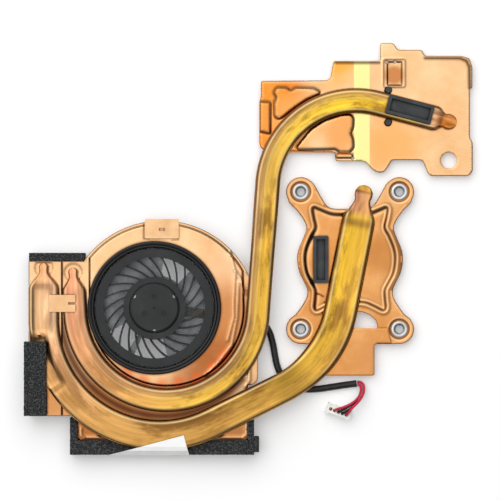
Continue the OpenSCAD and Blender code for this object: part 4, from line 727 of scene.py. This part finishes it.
flatPipe("graphics heat pipe", gpuPipe["rows"], gpuStart, gpuPipe, gpuZ, gpuPress, gpuTube, ["heat_pipe_gpu"])
flatPipe("processor heat pipe", cpuPipe["rows"], cpuStart, cpuPipe, cpuZ, cpuPress, cpuTube, ["heat_pipe_cpu"])
print("pipes done", round(gpuLength), round(cpuLength))

housing = {"top": 8.0, "dome": 0.8, "sheet": 0.8, "floor": 0.8, "lip": 1.5, "scroll": (2.7, -3.2, 34.6), "step": 0.55,
           "domeR": 28.1, "inlet": 23.22, "tipDish": 3.6, "dishDepth": 0.2}
sx, sy, sr = housing["scroll"]
leftFront = math.degrees(math.asin((16.8 - sy) / sr))
shroudLine = ([(-33.15, -39.0), (-27.5, -39.0), (-27.5, -46.8), (-26.7, -47.6), (32.9, -47.6), (33.7, -46.8), (33.7, -27.8)]
              + arcPoints((34.3, -24.8), 3.0, -90, 0, 8) + arcPoints((sx, sy), sr, 0, 180 - leftFront, 90)
              + [(-33.15, 16.8)])
shroudOutline = fromFan(shroudLine)
coverOutline = fromFan([(-45.3, -39.0), (-33.45, -39.0), (-33.45, 16.8), (-45.3, 16.8)])
cx, cy = gpuPipe["bend"]
domeOutline = fromFan(arcPoints((cx, cy), housing["domeR"], 180, 360, 60)
                      + [p for p in arcPoints((sx, sy), sr - 0.8, 20, 160, 60) if abs(p[0] - cx) < housing["domeR"] and p[1] > 5])
beads = {  # pressed lines of the cover: line, half width and height
    "innerRim": (onGrid([(229, 248), (234.5, 272), (233, 301), (233, 317), (227, 340)]), 0.5, 0.22),
    "outerRim": (onGrid([(238, 282), (236.4, 317), (231, 345), (218, 362), (205, 375)]), 0.5, 0.22),
    "pocketRim": (onGrid([(235, 252), (241, 258), (247.5, 271)]), 0.45, 0.25),
    "pocketCurve": (onGrid([(235, 270), (240, 278), (244.4, 294)]), 0.45, 0.2),
    "shoulderRim": (onGrid([(249, 351), (249, 380), (245, 386)]), 0.55, 0.28),
    "rearLeftRim": (onGrid([(80.5, 428), (80.5, 434.5), (84, 437.2), (110, 437.2)]), 0.5, 0.28),
    "rearRightRim": (onGrid([(246, 418), (246, 434), (243, 437.2), (205, 437.2)]), 0.5, 0.28),
}


def tipPlace(start, d):
    p = ahead(start, d)
    return np.array(p[:2])


def coverHeight(p):
    return -housing["dishDepth"] * eased((housing["tipDish"] - np.hypot(*(p - tipPlace(cpuStart, 1.8)).T)) / 0.7)


def shroudHeight(p):
    z = housing["dome"] * eased((depthIn(p, domeOutline) + 0.1) / 1.0)
    z -= housing["dishDepth"] * eased((housing["tipDish"] - np.hypot(*(p - tipPlace(gpuStart, 1.8)).T)) / 0.7)
    for line, width, height in beads.values():
        z += bead(p, line, width, height)
    return housing["top"] + z


inletHole = arcPoints(fanAxis, housing["inlet"], 0, 360 - 3.75, 95)
tipRings = [arcPoints(tipPlace(start, 1.8), housing["tipDish"] - 0.35, 0, 350, 35) for start in (gpuStart, cpuStart)]
points, faces = pressedSheet(shroudOutline, [inletHole], shroudHeight, housing["sheet"], housing["step"], lines=[domeOutline],
                             offsets=(-0.3, 0, 0.3, 0.6, 0.9, 1.2))
t, low, roof = housing["sheet"], housing["floor"], housing["top"] - 0.1
scrollWall = fromFan([(33.7, -47.6), (33.7, -27.8)] + arcPoints((34.3, -24.8), 3.0, -90, 0, 10) + [(37.3, -7.3)])
standingWall(points, faces, divided(scrollWall, 1.0, False), low, roof, t)
standingWall(points, faces, fromFan([(37.3, -7.3), (37.3, -2.9)]), low + 2.9, roof, t)
standingWall(points, faces, fromFan([(37.3, -2.9)] + arcPoints((sx, sy), sr, 1, 180 - leftFront, 90) + [(-33.15, 16.8)]), low, roof, t)
standingWall(points, faces, fromFan([(-33.15, -39.0), (-27.5, -39.0)]), low, roof, t)
standingWall(points, faces, fromFan([(-27.5, -39.0), (-27.5, -47.6)]), low, roof, t)
standingWall(points, faces, fromFan([(-27.5, -47.6), (33.7, -47.6)]), roof - 0.7 - housing["lip"], roof, t)
channel = fromFan(arcPoints((3.2, -2.15), 36.8, 184, 320, 60))  # painted shade between the two pipes
# painted shadow in lines beside the clip's sides
clipSides = [onGrid([(143.7, 223.5), (143.7, 238.4), (150, 239)]), onGrid([(178.4, 223.5), (178.4, 239.4), (172, 239.6)])]
coverRuns = [(channel, 1.9, 0.9)] + [(side, 0.32, 0.9) for side in clipSides]
# painted highlight along each bead and painted shadow just beside it
for line, width, height in beads.values():
    coverRuns += [(line, 0.3, -0.6), (np.array(line) + (0.75, -0.3), 0.3, 0.55)]
# painted shade and painted highlight at the dome's edge, painted shade in a dark ring round the tip dish and a dark
# line on the outline
oxideAndShade = oxideAndShadeOf(points, [(domeOutline, 0.1, 0.22, 0.45), (domeOutline, 0.8, 0.25, -0.5), (tipRings[0], 0, 0.2, 0.5)], shroudOutline,
              coverRuns)
writePiece("fan cover", points, faces, coverCopper, replaces=["shroud"], oxideAndShade=oxideAndShade)

points, faces = pressedSheet(coverOutline, [], lambda p: housing["top"] + coverHeight(p), t, housing["step"])
standingWall(points, faces, fromFan([(-45.3, -39.0), (-33.45, -39.0)]), low, roof, t)
standingWall(points, faces, fromFan([(-33.45, 16.8), (-45.3, 16.8)]), low, roof, t)
standingWall(points, faces, fromFan([(-45.3, 16.8), (-45.3, -39.0)]), roof - 0.7 - housing["lip"], roof, t)
# painted shade in a dark ring round the tip dish and a dark line on the outline
oxideAndShade = oxideAndShadeOf(points, [(tipRings[1], 0, 0.2, 0.5)], coverOutline)
writePiece("left exhaust cover", points, faces, coverCopper, replaces=["exhaust_cover"], oxideAndShade=oxideAndShade)
print("housing done")

ring = {"inner": 21.6, "outer": 24.0, "spigot": 23.2, "seat": 8.8, "top": 10.2}
s, q, e, h = ring["inner"], ring["outer"], ring["seat"], ring["top"]
lathePiece("black inlet ring", [
    (s, 8.0), (ring["spigot"], 8.0), (ring["spigot"], e), (q, e), (q, h - 0.75), (q - 0.12, h - 0.5), (q - 0.35, h - 0.36),
    (q - 0.7, h - 0.3), (q - 0.95, h - 0.42), (q - 1.0, h - 0.8), (q - 1.25, h - 0.85), (q - 1.4, h - 0.7), (q - 1.42, h - 0.12),
    (q - 1.55, h), (s + 0.55, h), (s + 0.3, h - 0.08), (s + 0.08, h - 0.35), (s, h - 0.7)],
    fanAxis, ringPlastic, 220, replaces=["inlet_ring"], angle=40)
print("ring done")

cpuPlate = {"half": (17.82, 24.84), "rimTop": 3.4, "panel": 0.6, "sheet": 0.8, "ear": 5.3, "dish": 3.9, "step": 0.5,
            "outline": [(0, 0.755), (0.34, 0.758), (0.48, 0.81), (0.60, 0.94), (0.78, 1.15), (1.02, 1.16), (1.26, 0.90),
                        (1.08, 0.73), (0.95, 0.60), (0.885, 0.475), (0.95, 0.33), (1.05, 0.15), (1.072, 0), (1.03, -0.17),
                        (0.93, -0.32), (0.872, -0.42), (0.875, -0.52), (0.96, -0.64), (1.10, -0.78), (1.25, -0.90),
                        (1.10, -1.195), (0, -1.2)],
            "panelLine": [(0, 0.68), (0.35, 0.685), (0.60, 0.75), (0.72, 0.782), (0.775, 0.745), (0.75, 0.62), (0.715, 0.48),
                          (0.80, 0.36), (0.90, 0.18), (0.93, 0.02), (0.89, -0.18), (0.78, -0.34), (0.717, -0.44),
                          (0.725, -0.58), (0.735, -0.69), (0.67, -0.735), (0.48, -0.67), (0.29, -0.618), (0, -0.61)],
            "window": [(0, -0.735), (0.24, -0.745), (0.40, -0.79), (0.52, -0.87), (0.556, -0.95), (0.55, -0.985), (0, -0.985)]}


def bothSides(half):
    whole = list(half) + [(-x, y) for x, y in reversed(half) if x]
    return [(x * cpuPlate["half"][0], y * cpuPlate["half"][1]) for x, y in whole]


def circleCut(loop, centre, r, steps=60):  # outline joined with a disc
    n = len(loop)
    dense = divided(loop, 0.4)
    away = [math.hypot(x - centre[0], y - centre[1]) > r for x, y in dense]
    n = len(dense)
    enter = next(i for i in range(n) if away[i] and not away[(i + 1) % n])
    leave = next(i for i in range(n) if not away[i] and away[(i + 1) % n])
    a = math.degrees(math.atan2(dense[enter][1] - centre[1], dense[enter][0] - centre[0]))
    b = math.degrees(math.atan2(dense[(leave + 1) % n][1] - centre[1], dense[(leave + 1) % n][0] - centre[0]))
    while b > a:
        b -= 360
    keep = []
    i = (leave + 1) % n
    while i != (enter + 1) % n:
        keep.append(dense[i])
        i = (i + 1) % n
    return keep + arcPoints(centre, r, a, b, steps)[1:-1]


panelCurve = smoothLoop(bothSides(cpuPlate["panelLine"]), 4)
plateCurve = smoothLoop(bothSides(cpuPlate["outline"]), 4)
screwPlaces = [(x * cpuPlate["half"][0], y * cpuPlate["half"][1]) for x in (-1, 1) for y in (-1, 1)]
for place in screwPlaces:
    plateCurve = circleCut(plateCurve, place, cpuPlate["ear"])


def plateHeight(p):
    d = depthIn(p, panelCurve)
    z = cpuPlate["rimTop"] - cpuPlate["panel"] * eased((d + 0.35) / 1.15)
    z += 0.16 * np.exp(-((d + 0.75) / 0.4) ** 2) - 0.12 * np.exp(-((d - 1.25) / 0.45) ** 2)
    for place in screwPlaces:
        z -= 0.2 * eased((cpuPlate["dish"] - np.hypot(*(p - place).T)) / 0.3)
    return z


windowHole = bothSides(cpuPlate["window"])
sleeveHoles = [arcPoints(place, 2.22, 0, 350, 35) for place in screwPlaces]
sleeveRings = [arcPoints(place, 3.4, 0, 350, 35) for place in screwPlaces]
points, faces = pressedSheet(plateCurve, [windowHole] + sleeveHoles, plateHeight, cpuPlate["sheet"], cpuPlate["step"], 0.22, 0.14,
                             [panelCurve] + sleeveRings, (-1.4, -1.05, -0.75, -0.4, -0.1, 0.2, 0.5, 0.8, 1.1, 1.45, 1.8))
dashSlot = onGrid([(316.5, 293.7), (320, 294.6), (323.6, 296.6)])
# painted shade and painted highlight along the panel's step, painted shadow round the sleeve heads and a painted
# highlight inside it, painted highlight on the rim, dark marks at the slot and two dots
oxideAndShade = oxideAndShadeOf(points, [(panelCurve, 0.35, 0.26, 0.6), (panelCurve, -1.35, 0.2, 0.5), (panelCurve, -0.55, 0.3, -0.6),
                       (panelCurve, 1.2, 0.3, -0.5), (plateCurve, 0.75, 0.25, -0.4)]
              + [(ringLine, -0.05, 0.26, 0.95) for ringLine in sleeveRings] + [(ringLine, -0.75, 0.25, -0.7) for ringLine in sleeveRings],
              plateCurve, [(dashSlot, 0.35, 1.0), (onGrid([(375.4, 203), (375.9, 203)]), 0.4, 1.0),
                           (onGrid([(376.9, 373), (377.3, 373)]), 0.4, 1.0)])
writePiece("processor plate", points, faces, plateCopper, replaces=["cpu_plate"], oxideAndShade=oxideAndShade)

tailPlate = {"top": 3.9, "sheet": 0.5,
             "outline": [(-0.22, -0.985), (0.78, -0.985), (0.80, -1.09), (0.84, -1.205), (0.55, -1.205), (0.495, -1.235),
                         (0.495, -1.655), (0.46, -1.675), (-0.6, -1.675), (-0.6, -1.2), (-0.22, -1.16)]}
tailLine = [(x * cpuPlate["half"][0], y * cpuPlate["half"][1]) for x, y in tailPlate["outline"]]
points, faces = pressedSheet(tailLine, [], lambda p: np.full(len(p), tailPlate["top"]), tailPlate["sheet"], 0.8, 0.15, 0.08)
writePiece("chipset spreader plate", points, faces, plateCopper, replaces=["chipset_plate"])

sleeveSpec = {"bore": 1.35, "body": 2.2, "head": 3.0, "seat": 3.22, "rise": 0.88}
for name, place in zip(("rear_left", "front_left", "rear_right", "front_right"), screwPlaces):
    b, w, z = sleeveSpec["bore"], sleeveSpec["head"], sleeveSpec["seat"] + sleeveSpec["rise"]
    lathePiece("sleeve " + name.replace("_", " "), [
        (b, 0.3), (sleeveSpec["body"], 0.3), (sleeveSpec["body"], sleeveSpec["seat"]), (w, sleeveSpec["seat"]), (w, z - 0.3),
        (w - 0.1, z - 0.08), (w - 0.3, z), (b + 0.75, z), (b + 0.6, z - 0.05), (b + 0.1, z - 0.5), (b, z - 0.6)],
        place, turnedNickel, 64, replaces=["screw_sleeve_" + name], angle=35)
print("processor plate done")

gpuPlate = {"corner": (-32.8, 30.6), "size": (77.2, 48.1), "top": 3.0, "sheet": 0.8, "pad": 0.5, "step": 0.6,
            "outline": [(0.566, 1), (0.627, 1), (0.650, 0.948), (0.762, 0.948), (0.776, 0.903), (0.949, 0.903), (0.985, 0.885),
                        (0.998, 0.82), (0.998, 0.663), (0.986, 0.655), (0.986, 0.288), (1, 0.251), (1, 0.034), (0.981, 0),
                        (0.804, 0), (0.790, 0.019), (0.767, 0.109), (0.753, 0.12), (0.622, 0.12), (0.604, 0.071),
                        (0.585, 0.03), (0.562, 0.022), (0.535, 0.04), (0.497, 0.105), (0.478, 0.112), (0.361, 0.112),
                        (0.354, 0.131), (0.354, 0.18), (0.03, 0.191), (0.008, 0.205), (0, 0.243), (0, 0.558), (0.007, 0.596),
                        (0.007, 0.715), (0.319, 0.719), (0.333, 0.738), (0.347, 0.865), (0.557, 0.865), (0.566, 0.873)],
            "upperPad": [(277.2, 86.6), (287.4, 87), (291, 90.3), (295.7, 87), (315, 87.5), (320.2, 90.7), (319.8, 93.5),
                         (306.8, 99), (292, 109.2), (281.8, 117.6), (278, 118.5), (274.4, 115.7), (274, 102.8), (276.7, 97.2),
                         (273.5, 91.7)],
            "lowerPad": [(296.6, 146.2), (310.5, 128.7), (324.4, 119.4), (342.9, 113.4), (351.2, 113.4), (354.4, 117.6),
                         (354, 126.8), (351.2, 132.4), (354, 138.8), (354.4, 147.2), (350.3, 151.8), (340.1, 151.8),
                         (335.5, 148.5), (330.9, 149), (298.5, 149.5)],
            "sidePad": [(259.6, 101), (270.7, 101.5), (270.7, 133.5), (259.6, 131)],
            "tonguePad": [(336.4, 153.6), (353, 153.6), (353, 157.3), (336.4, 157.3)],
            "pocket": [(387.8, 60.7), (402.6, 60.7), (402.6, 84.5), (387.8, 84.5)],
            "pocketFrame": [(383.8, 58), (405.7, 58), (405.7, 86.1), (383.8, 86.1)]}
gx, gy = gpuPlate["corner"]
gpuLine = rounded([(gx + a * gpuPlate["size"][0], gy + b * gpuPlate["size"][1]) for a, b in gpuPlate["outline"]], 0.8, 3)
pads = [rounded(onGrid(gpuPlate[k]), 0.8, 3) for k in ("upperPad", "lowerPad", "sidePad", "tonguePad")]
pocket = rounded(onGrid(gpuPlate["pocket"]), 0.5, 3)
pocketFrame = rounded(onGrid(gpuPlate["pocketFrame"]), 0.8, 3)


def gpuHeight(p):
    z = np.full(len(p), float(gpuPlate["top"]))
    for pad in pads:
        d = depthIn(p, pad)
        z += gpuPlate["pad"] * eased((d + 0.1) / 0.8) - 0.14 * np.exp(-((d + 0.35) / 0.3) ** 2)
    d = depthIn(p, pocket)
    z -= 0.35 * eased((d + 0.1) / 0.6)
    z += bead(p, pocketFrame, 0.35, 0.18, True)
    return z


studs = [beside(poseAt(gpuPipe["rows"], gpuStart, gpuLength - gpuPipe["rows"][2][0] + d), side * 5.65)
         for d, side in ((2.4, 1), (5.3, -1))]
gpuHoles = [arcPoints((gx + 0.888 * 77.2, gy + 0.116 * 48.1), 2.9, 0, 352, 44),
            arcPoints((gx + 0.438 * 77.2, gy + 0.131 * 48.1), 0.525, 0, 330, 11),
            arcPoints(studs[0], 1.07, 0, 340, 17), arcPoints(studs[1], 1.07, 0, 340, 17),
            arcPoints((gx + 0.597 * 77.2, gy + 0.857 * 48.1), 0.525, 0, 330, 11),
            arcPoints((gx + 0.636 * 77.2, gy + 0.857 * 48.1), 0.525, 0, 330, 11)]


# Bright copper, its two halves of different tone, with a pale strip where tape kept it from heat
def tapedCopper(name, spec):
    finish, tree = newFinish(name)
    place = addNode(tree, "ShaderNodeTexCoord")
    split = addNode(tree, "ShaderNodeSeparateXYZ", links={0: place.outputs["Object"]})
    cloud = addNode(tree, "ShaderNodeTexNoise", values={"Scale": perMm(spec["patch"]), "Detail": 4, "Roughness": 0.55},
                    links={"Vector": place.outputs["Object"]})
    fine = addNode(tree, "ShaderNodeTexNoise", values={"Scale": perMm(spec["grain"]), "Detail": 3},
                   links={"Vector": place.outputs["Object"]})
    left = addNode(tree, "ShaderNodeValToRGB", links={0: cloud.outputs["Fac"]}, stops=spec["leftTones"])
    right = addNode(tree, "ShaderNodeValToRGB", links={0: cloud.outputs["Fac"]}, stops=spec["rightTones"])
    cross = addNode(tree, "ShaderNodeMapRange", {"interpolation_type": "SMOOTHSTEP"},
                    {1: spec["fade"][0] * mm, 2: spec["fade"][1] * mm, 3: 0, 4: 1}, {0: split.outputs[0]})
    base = addNode(tree, "ShaderNodeMix", {"data_type": "RGBA"}, links={0: cross.outputs[0], 6: left.outputs[0], 7: right.outputs[0]})
    enter = addNode(tree, "ShaderNodeMapRange", {"interpolation_type": "SMOOTHSTEP"},
                    {1: (spec["strip"][0] - 0.15) * mm, 2: (spec["strip"][0] + 0.15) * mm, 3: 0, 4: 1}, {0: split.outputs[0]})
    leave = addNode(tree, "ShaderNodeMapRange", {"interpolation_type": "SMOOTHSTEP"},
                    {1: (spec["strip"][1] - 0.15) * mm, 2: (spec["strip"][1] + 0.15) * mm, 3: 1, 4: 0}, {0: split.outputs[0]})
    strip = addNode(tree, "ShaderNodeMath", {"operation": "MULTIPLY"}, links={0: enter.outputs[0], 1: leave.outputs[0]})
    colour = addNode(tree, "ShaderNodeMix", {"data_type": "RGBA"}, {7: fromHex(spec["pale"])},
                     {0: strip.outputs[0], 6: tinted(tree, base.outputs[2], place.outputs["Object"], cloud.outputs["Fac"], spec["marks"])})
    gloss = addNode(tree, "ShaderNodeMapRange", values={1: 0.3, 2: 0.7, 3: spec["rough"][0], 4: spec["rough"][1]},
                    links={0: fine.outputs["Fac"]})
    rise = addNode(tree, "ShaderNodeBump", values={"Strength": 0.004, "Distance": spec["grain"] * mm * 0.2},
                   links={"Height": fine.outputs["Fac"]})
    # oxide and painted shade in the pressed lines, painted highlight on ridges, painted shade where other pieces stand
    # close
    closeFinish(tree, oxideAndPaintedShade(tree, colour.outputs[2]), gloss.outputs[0], {"Metallic": 1.0}, rise.outputs[0])
    return finish


# Rolled copper: orange on the left, pale peach on the right, a pale yellow strip between
brightCopper = tapedCopper("rolled copper with a taped strip", {
    "patch": 14, "grain": 0.5, "strip": (1.4, 7.1), "pale": "#fdf0a0", "fade": (-22, -12), "rough": (0.24, 0.3),
    "leftTones": [(0.35, "#ef8730"), (0.5, "#f6963a"), (0.65, "#faa24a")],
    "rightTones": [(0.35, "#f3bd84"), (0.5, "#fac893"), (0.65, "#fdd3a0")],
    "marks": [(-4, 72, 3, 12, "#fbad44", 0.9), (-20, 50, 4, 14, "#fbb06a", 0.7), (16, 42, 5, 17, "#f9b268", 0.85),
              # the darker patch at 16, 67.1 fills the pressed pocket: painted shade
              (16, 67.1, 2.2, 4.4, "#c9804a", 0.9), (-3, 47, 3, 12, "#f2a55c", 0.85)]})
points, faces = pressedSheet(gpuLine, gpuHoles, gpuHeight, gpuPlate["sheet"], gpuPlate["step"], 0.2, 0.12,
                             pads + [pocket, pocketFrame], (-0.65, -0.45, -0.25, -0.05, 0.2, 0.45))
topFold = onGrid([(336, 61.8), (380, 61.8)])
cornerFold = onGrid([(426, 57), (461, 57.2), (467.5, 60), (470.3, 66), (470.6, 87)])
# painted shade round the pads, pocket and folds, painted highlight just inside the pads, on the pocket frame and the
# rim
oxideAndShade = oxideAndShadeOf(points, [(pad, -0.25, 0.2, 0.9) for pad in pads] + [(pad, 0.3, 0.2, -0.6) for pad in pads]
              + [(pocket, -0.05, 0.22, 0.9), (pocketFrame, 0.0, 0.2, 0.7), (pocketFrame, -0.45, 0.2, -0.8),
                 (gpuLine, 0.7, 0.25, -0.4)], gpuLine, [(topFold, 0.5, 0.95), (cornerFold, 0.65, 0.95)])
writePiece("graphics plate", points, faces, brightCopper, replaces=["gpu_plate"], oxideAndShade=oxideAndShade)
print("graphics plate done")


def foamPiece(name, blocks, replaces, spec):
    points, faces = [], []
    rng = np.random.default_rng(spec["seed"])
    for low, high in blocks:
        counts = [max(1, int(round((high[k] - low[k]) / spec["step"]))) for k in range(3)]
        index = {}
        for axis in range(3):
            u, v = [k for k in range(3) if k != axis]
            for end in (0, 1):
                for i in range(counts[u]):
                    for j in range(counts[v]):
                        quad = []
                        for di, dj in ((0, 0), (1, 0), (1, 1), (0, 1)):
                            at = [0, 0, 0]
                            at[axis], at[u], at[v] = counts[axis] * end, i + di, j + dj
                            key = tuple(at)
                            if key not in index:
                                index[key] = len(points)
                                shift = rng.uniform(-1, 0, 3) * spec["rough"]
                                p = [low[k] + (high[k] - low[k]) * at[k] / counts[k] for k in range(3)]
                                for k in range(3):
                                    if at[k] == 0:
                                        p[k] -= shift[k]
                                    elif at[k] == counts[k]:
                                        p[k] += shift[k]
                                points.append(tuple(p))
                            quad.append(index[key])
                        flip = (end == 0) != (axis == 1)
                        faces.append(tuple(quad[::-1] if flip else quad))
    return writePiece(name, points, faces, foamBlack, replaces=replaces, angle=80)


fx, fy = fanAxis
foamSpec = {"step": 0.5, "rough": 0.16, "seed": 4}
foamPiece("front foam", [((-45.2 + fx, 16.82 + fy, 0.6), (-25.1 + fx, 19.8 + fy, 8.6))], ["foam_front"], foamSpec)
foamPiece("left foam", [((-46.8 + fx, -38.8 + fy, 5.75), (-45.32 + fx, -12.1 + fy, 11.9)),
                        ((-45.4 + fx, -38.8 + fy, 9.85), (-38.7 + fx, -12.1 + fy, 11.9)),
                        ((-45.3 + fx, -38.8 + fy, 8.02), (-38.7 + fx, -29.5 + fy, 10.2))], ["foam_left"], foamSpec)
foamPiece("rear left foam", [((-30.5 + fx, -53.0 + fy, 5.3), (-0.4 + fx, -47.62 + fy, 7.9)),
                             ((-30.5 + fx, -53.0 + fy, 0.6), (-27.6 + fx, -39.6 + fy, 7.9))], ["foam_rear_left"], foamSpec)
foamPiece("rear right foam", [((-0.3 + fx, -53.0 + fy, 5.3), (35.9 + fx, -47.62 + fy, 7.9)),
                              ((33.75 + fx, -53.0 + fy, 0.6), (35.9 + fx, -39.6 + fy, 7.9)),
                              ((35.8 + fx, -52.1 + fy, 0.6), (37.7 + fx, -46.6 + fy, 7.9))], ["foam_rear_right"], foamSpec)
print("foam done")

kept = {
    "base_plate": baseSteel, "shroud_clip": clipCopper, "impeller": bladePlastic, "rotor_cup": drawnSteel,
    "magnet_ring": boundFerrite, "shaft": drawnSteel, "bearing_holder": turnedBrass, "bearing_sleeve": sinteredBronze,
    "thrust_pad": padNylon, "stator_core": coreSteel, "stator_coils": coilCopper, "motor_board": boardBlack,
    "fins_left": finCopper, "fins_rear": finCopper, "pipe_clip": clipCopper, "cpu_block": blockCopper,
    "gpu_block": blockCopper, "memory_pads": thermalPad, "rubber_studs": castRubber, "rubber_block_gpu": castRubber,
    "rubber_block_cpu": castRubber, "plug_housing": whiteNylon, "plug_contacts": contactBrass, "label": labelPaper,
}
for name, finish in kept.items():
    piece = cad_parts[name]
    for slot in piece.material_slots:
        slot.material = finish
softEdges = {"impeller": 0.12, "shroud_clip": 0.12, "pipe_clip": 0.12, "rubber_block_gpu": 0.2, "rubber_block_cpu": 0.2,
             "plug_housing": 0.1, "rubber_studs": 0.15}
for name, width in softEdges.items():
    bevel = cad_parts[name].modifiers.new("soft edge", "BEVEL")
    bevel.width, bevel.segments, bevel.angle_limit = width * mm, 2, math.radians(40)
print("finishes done")

floor = {"size": 3.0, "colour": "#fbfbfb", "lift": 0.2}  # lift: the share of plain white that the camera sees, for a light shadow
mesh = bpy.data.meshes.new("floor")
half = floor["size"] / 2
mesh.from_pydata([(-half, -half, -0.00002), (half, -half, -0.00002), (half, half, -0.00002), (-half, half, -0.00002)], [], [(0, 1, 2, 3)])
ground = bpy.data.objects.new("floor", mesh)
bpy.context.scene.collection.objects.link(ground)
paint, tree = newFinish("matt white paint")
skin = addNode(tree, "ShaderNodeBsdfPrincipled", values={"Base Color": fromHex(floor["colour"]), "Roughness": 0.95,
                                                         "Specular IOR Level": 0.0})
seen = addNode(tree, "ShaderNodeLightPath")
straight = addNode(tree, "ShaderNodeMath", {"operation": "MAXIMUM"}, links={0: seen.outputs["Is Camera Ray"], 1: seen.outputs["Is Glossy Ray"]})
lift = addNode(tree, "ShaderNodeMath", {"operation": "MULTIPLY"}, {1: floor["lift"]}, {0: straight.outputs[0]})
white = addNode(tree, "ShaderNodeEmission", values={"Strength": 1.0})
mix = addNode(tree, "ShaderNodeMixShader", links={0: lift.outputs[0], 1: skin.outputs[0], 2: white.outputs[0]})
addNode(tree, "ShaderNodeOutputMaterial", links={"Surface": mix.outputs[0]})
mesh.materials.append(paint)

light = {"sky": 1.8, "from": (-0.22, 0.3, 0.93), "lamp": 10.5, "lampSize": 1.6, "lampAt": (-0.2, 0.5, 1.0),
         "bands": [(0.0, 0.06), (0.4, 0.1), (0.6, 0.24), (0.76, 0.4), (0.9, 0.56), (0.965, 0.76), (1.0, 1.0)]}
world = bpy.data.worlds.new("studio")
bpy.context.scene.world = world
world.use_nodes = True
tree = world.node_tree
tree.nodes.clear()
view = addNode(tree, "ShaderNodeTexCoord")
toward = addNode(tree, "ShaderNodeVectorMath", {"operation": "DOT_PRODUCT"}, {1: Vector(light["from"]).normalized()},
                 {0: view.outputs["Generated"]})
dome = addNode(tree, "ShaderNodeValToRGB", links={0: toward.outputs[1]}, stops=light["bands"])
glow = addNode(tree, "ShaderNodeBackground", values={"Strength": light["sky"]}, links={"Color": dome.outputs[0]})
addNode(tree, "ShaderNodeOutputWorld", links={"Surface": glow.outputs[0]})
lamp = bpy.data.objects.new("window light", bpy.data.lights.new("window light", "AREA"))
lamp.data.energy, lamp.data.size = light["lamp"], light["lampSize"]
lamp.location = light["lampAt"]
lamp.rotation_euler = (Vector((-0.036, 0, 0)) - lamp.location).to_track_quat("-Z", "Y").to_euler()
lamp.visible_glossy = False  # the shine comes from the studio's dome, not from the lamp
bpy.context.scene.collection.objects.link(lamp)
bpy.context.scene.view_settings.view_transform = "Standard"

print("scene done")
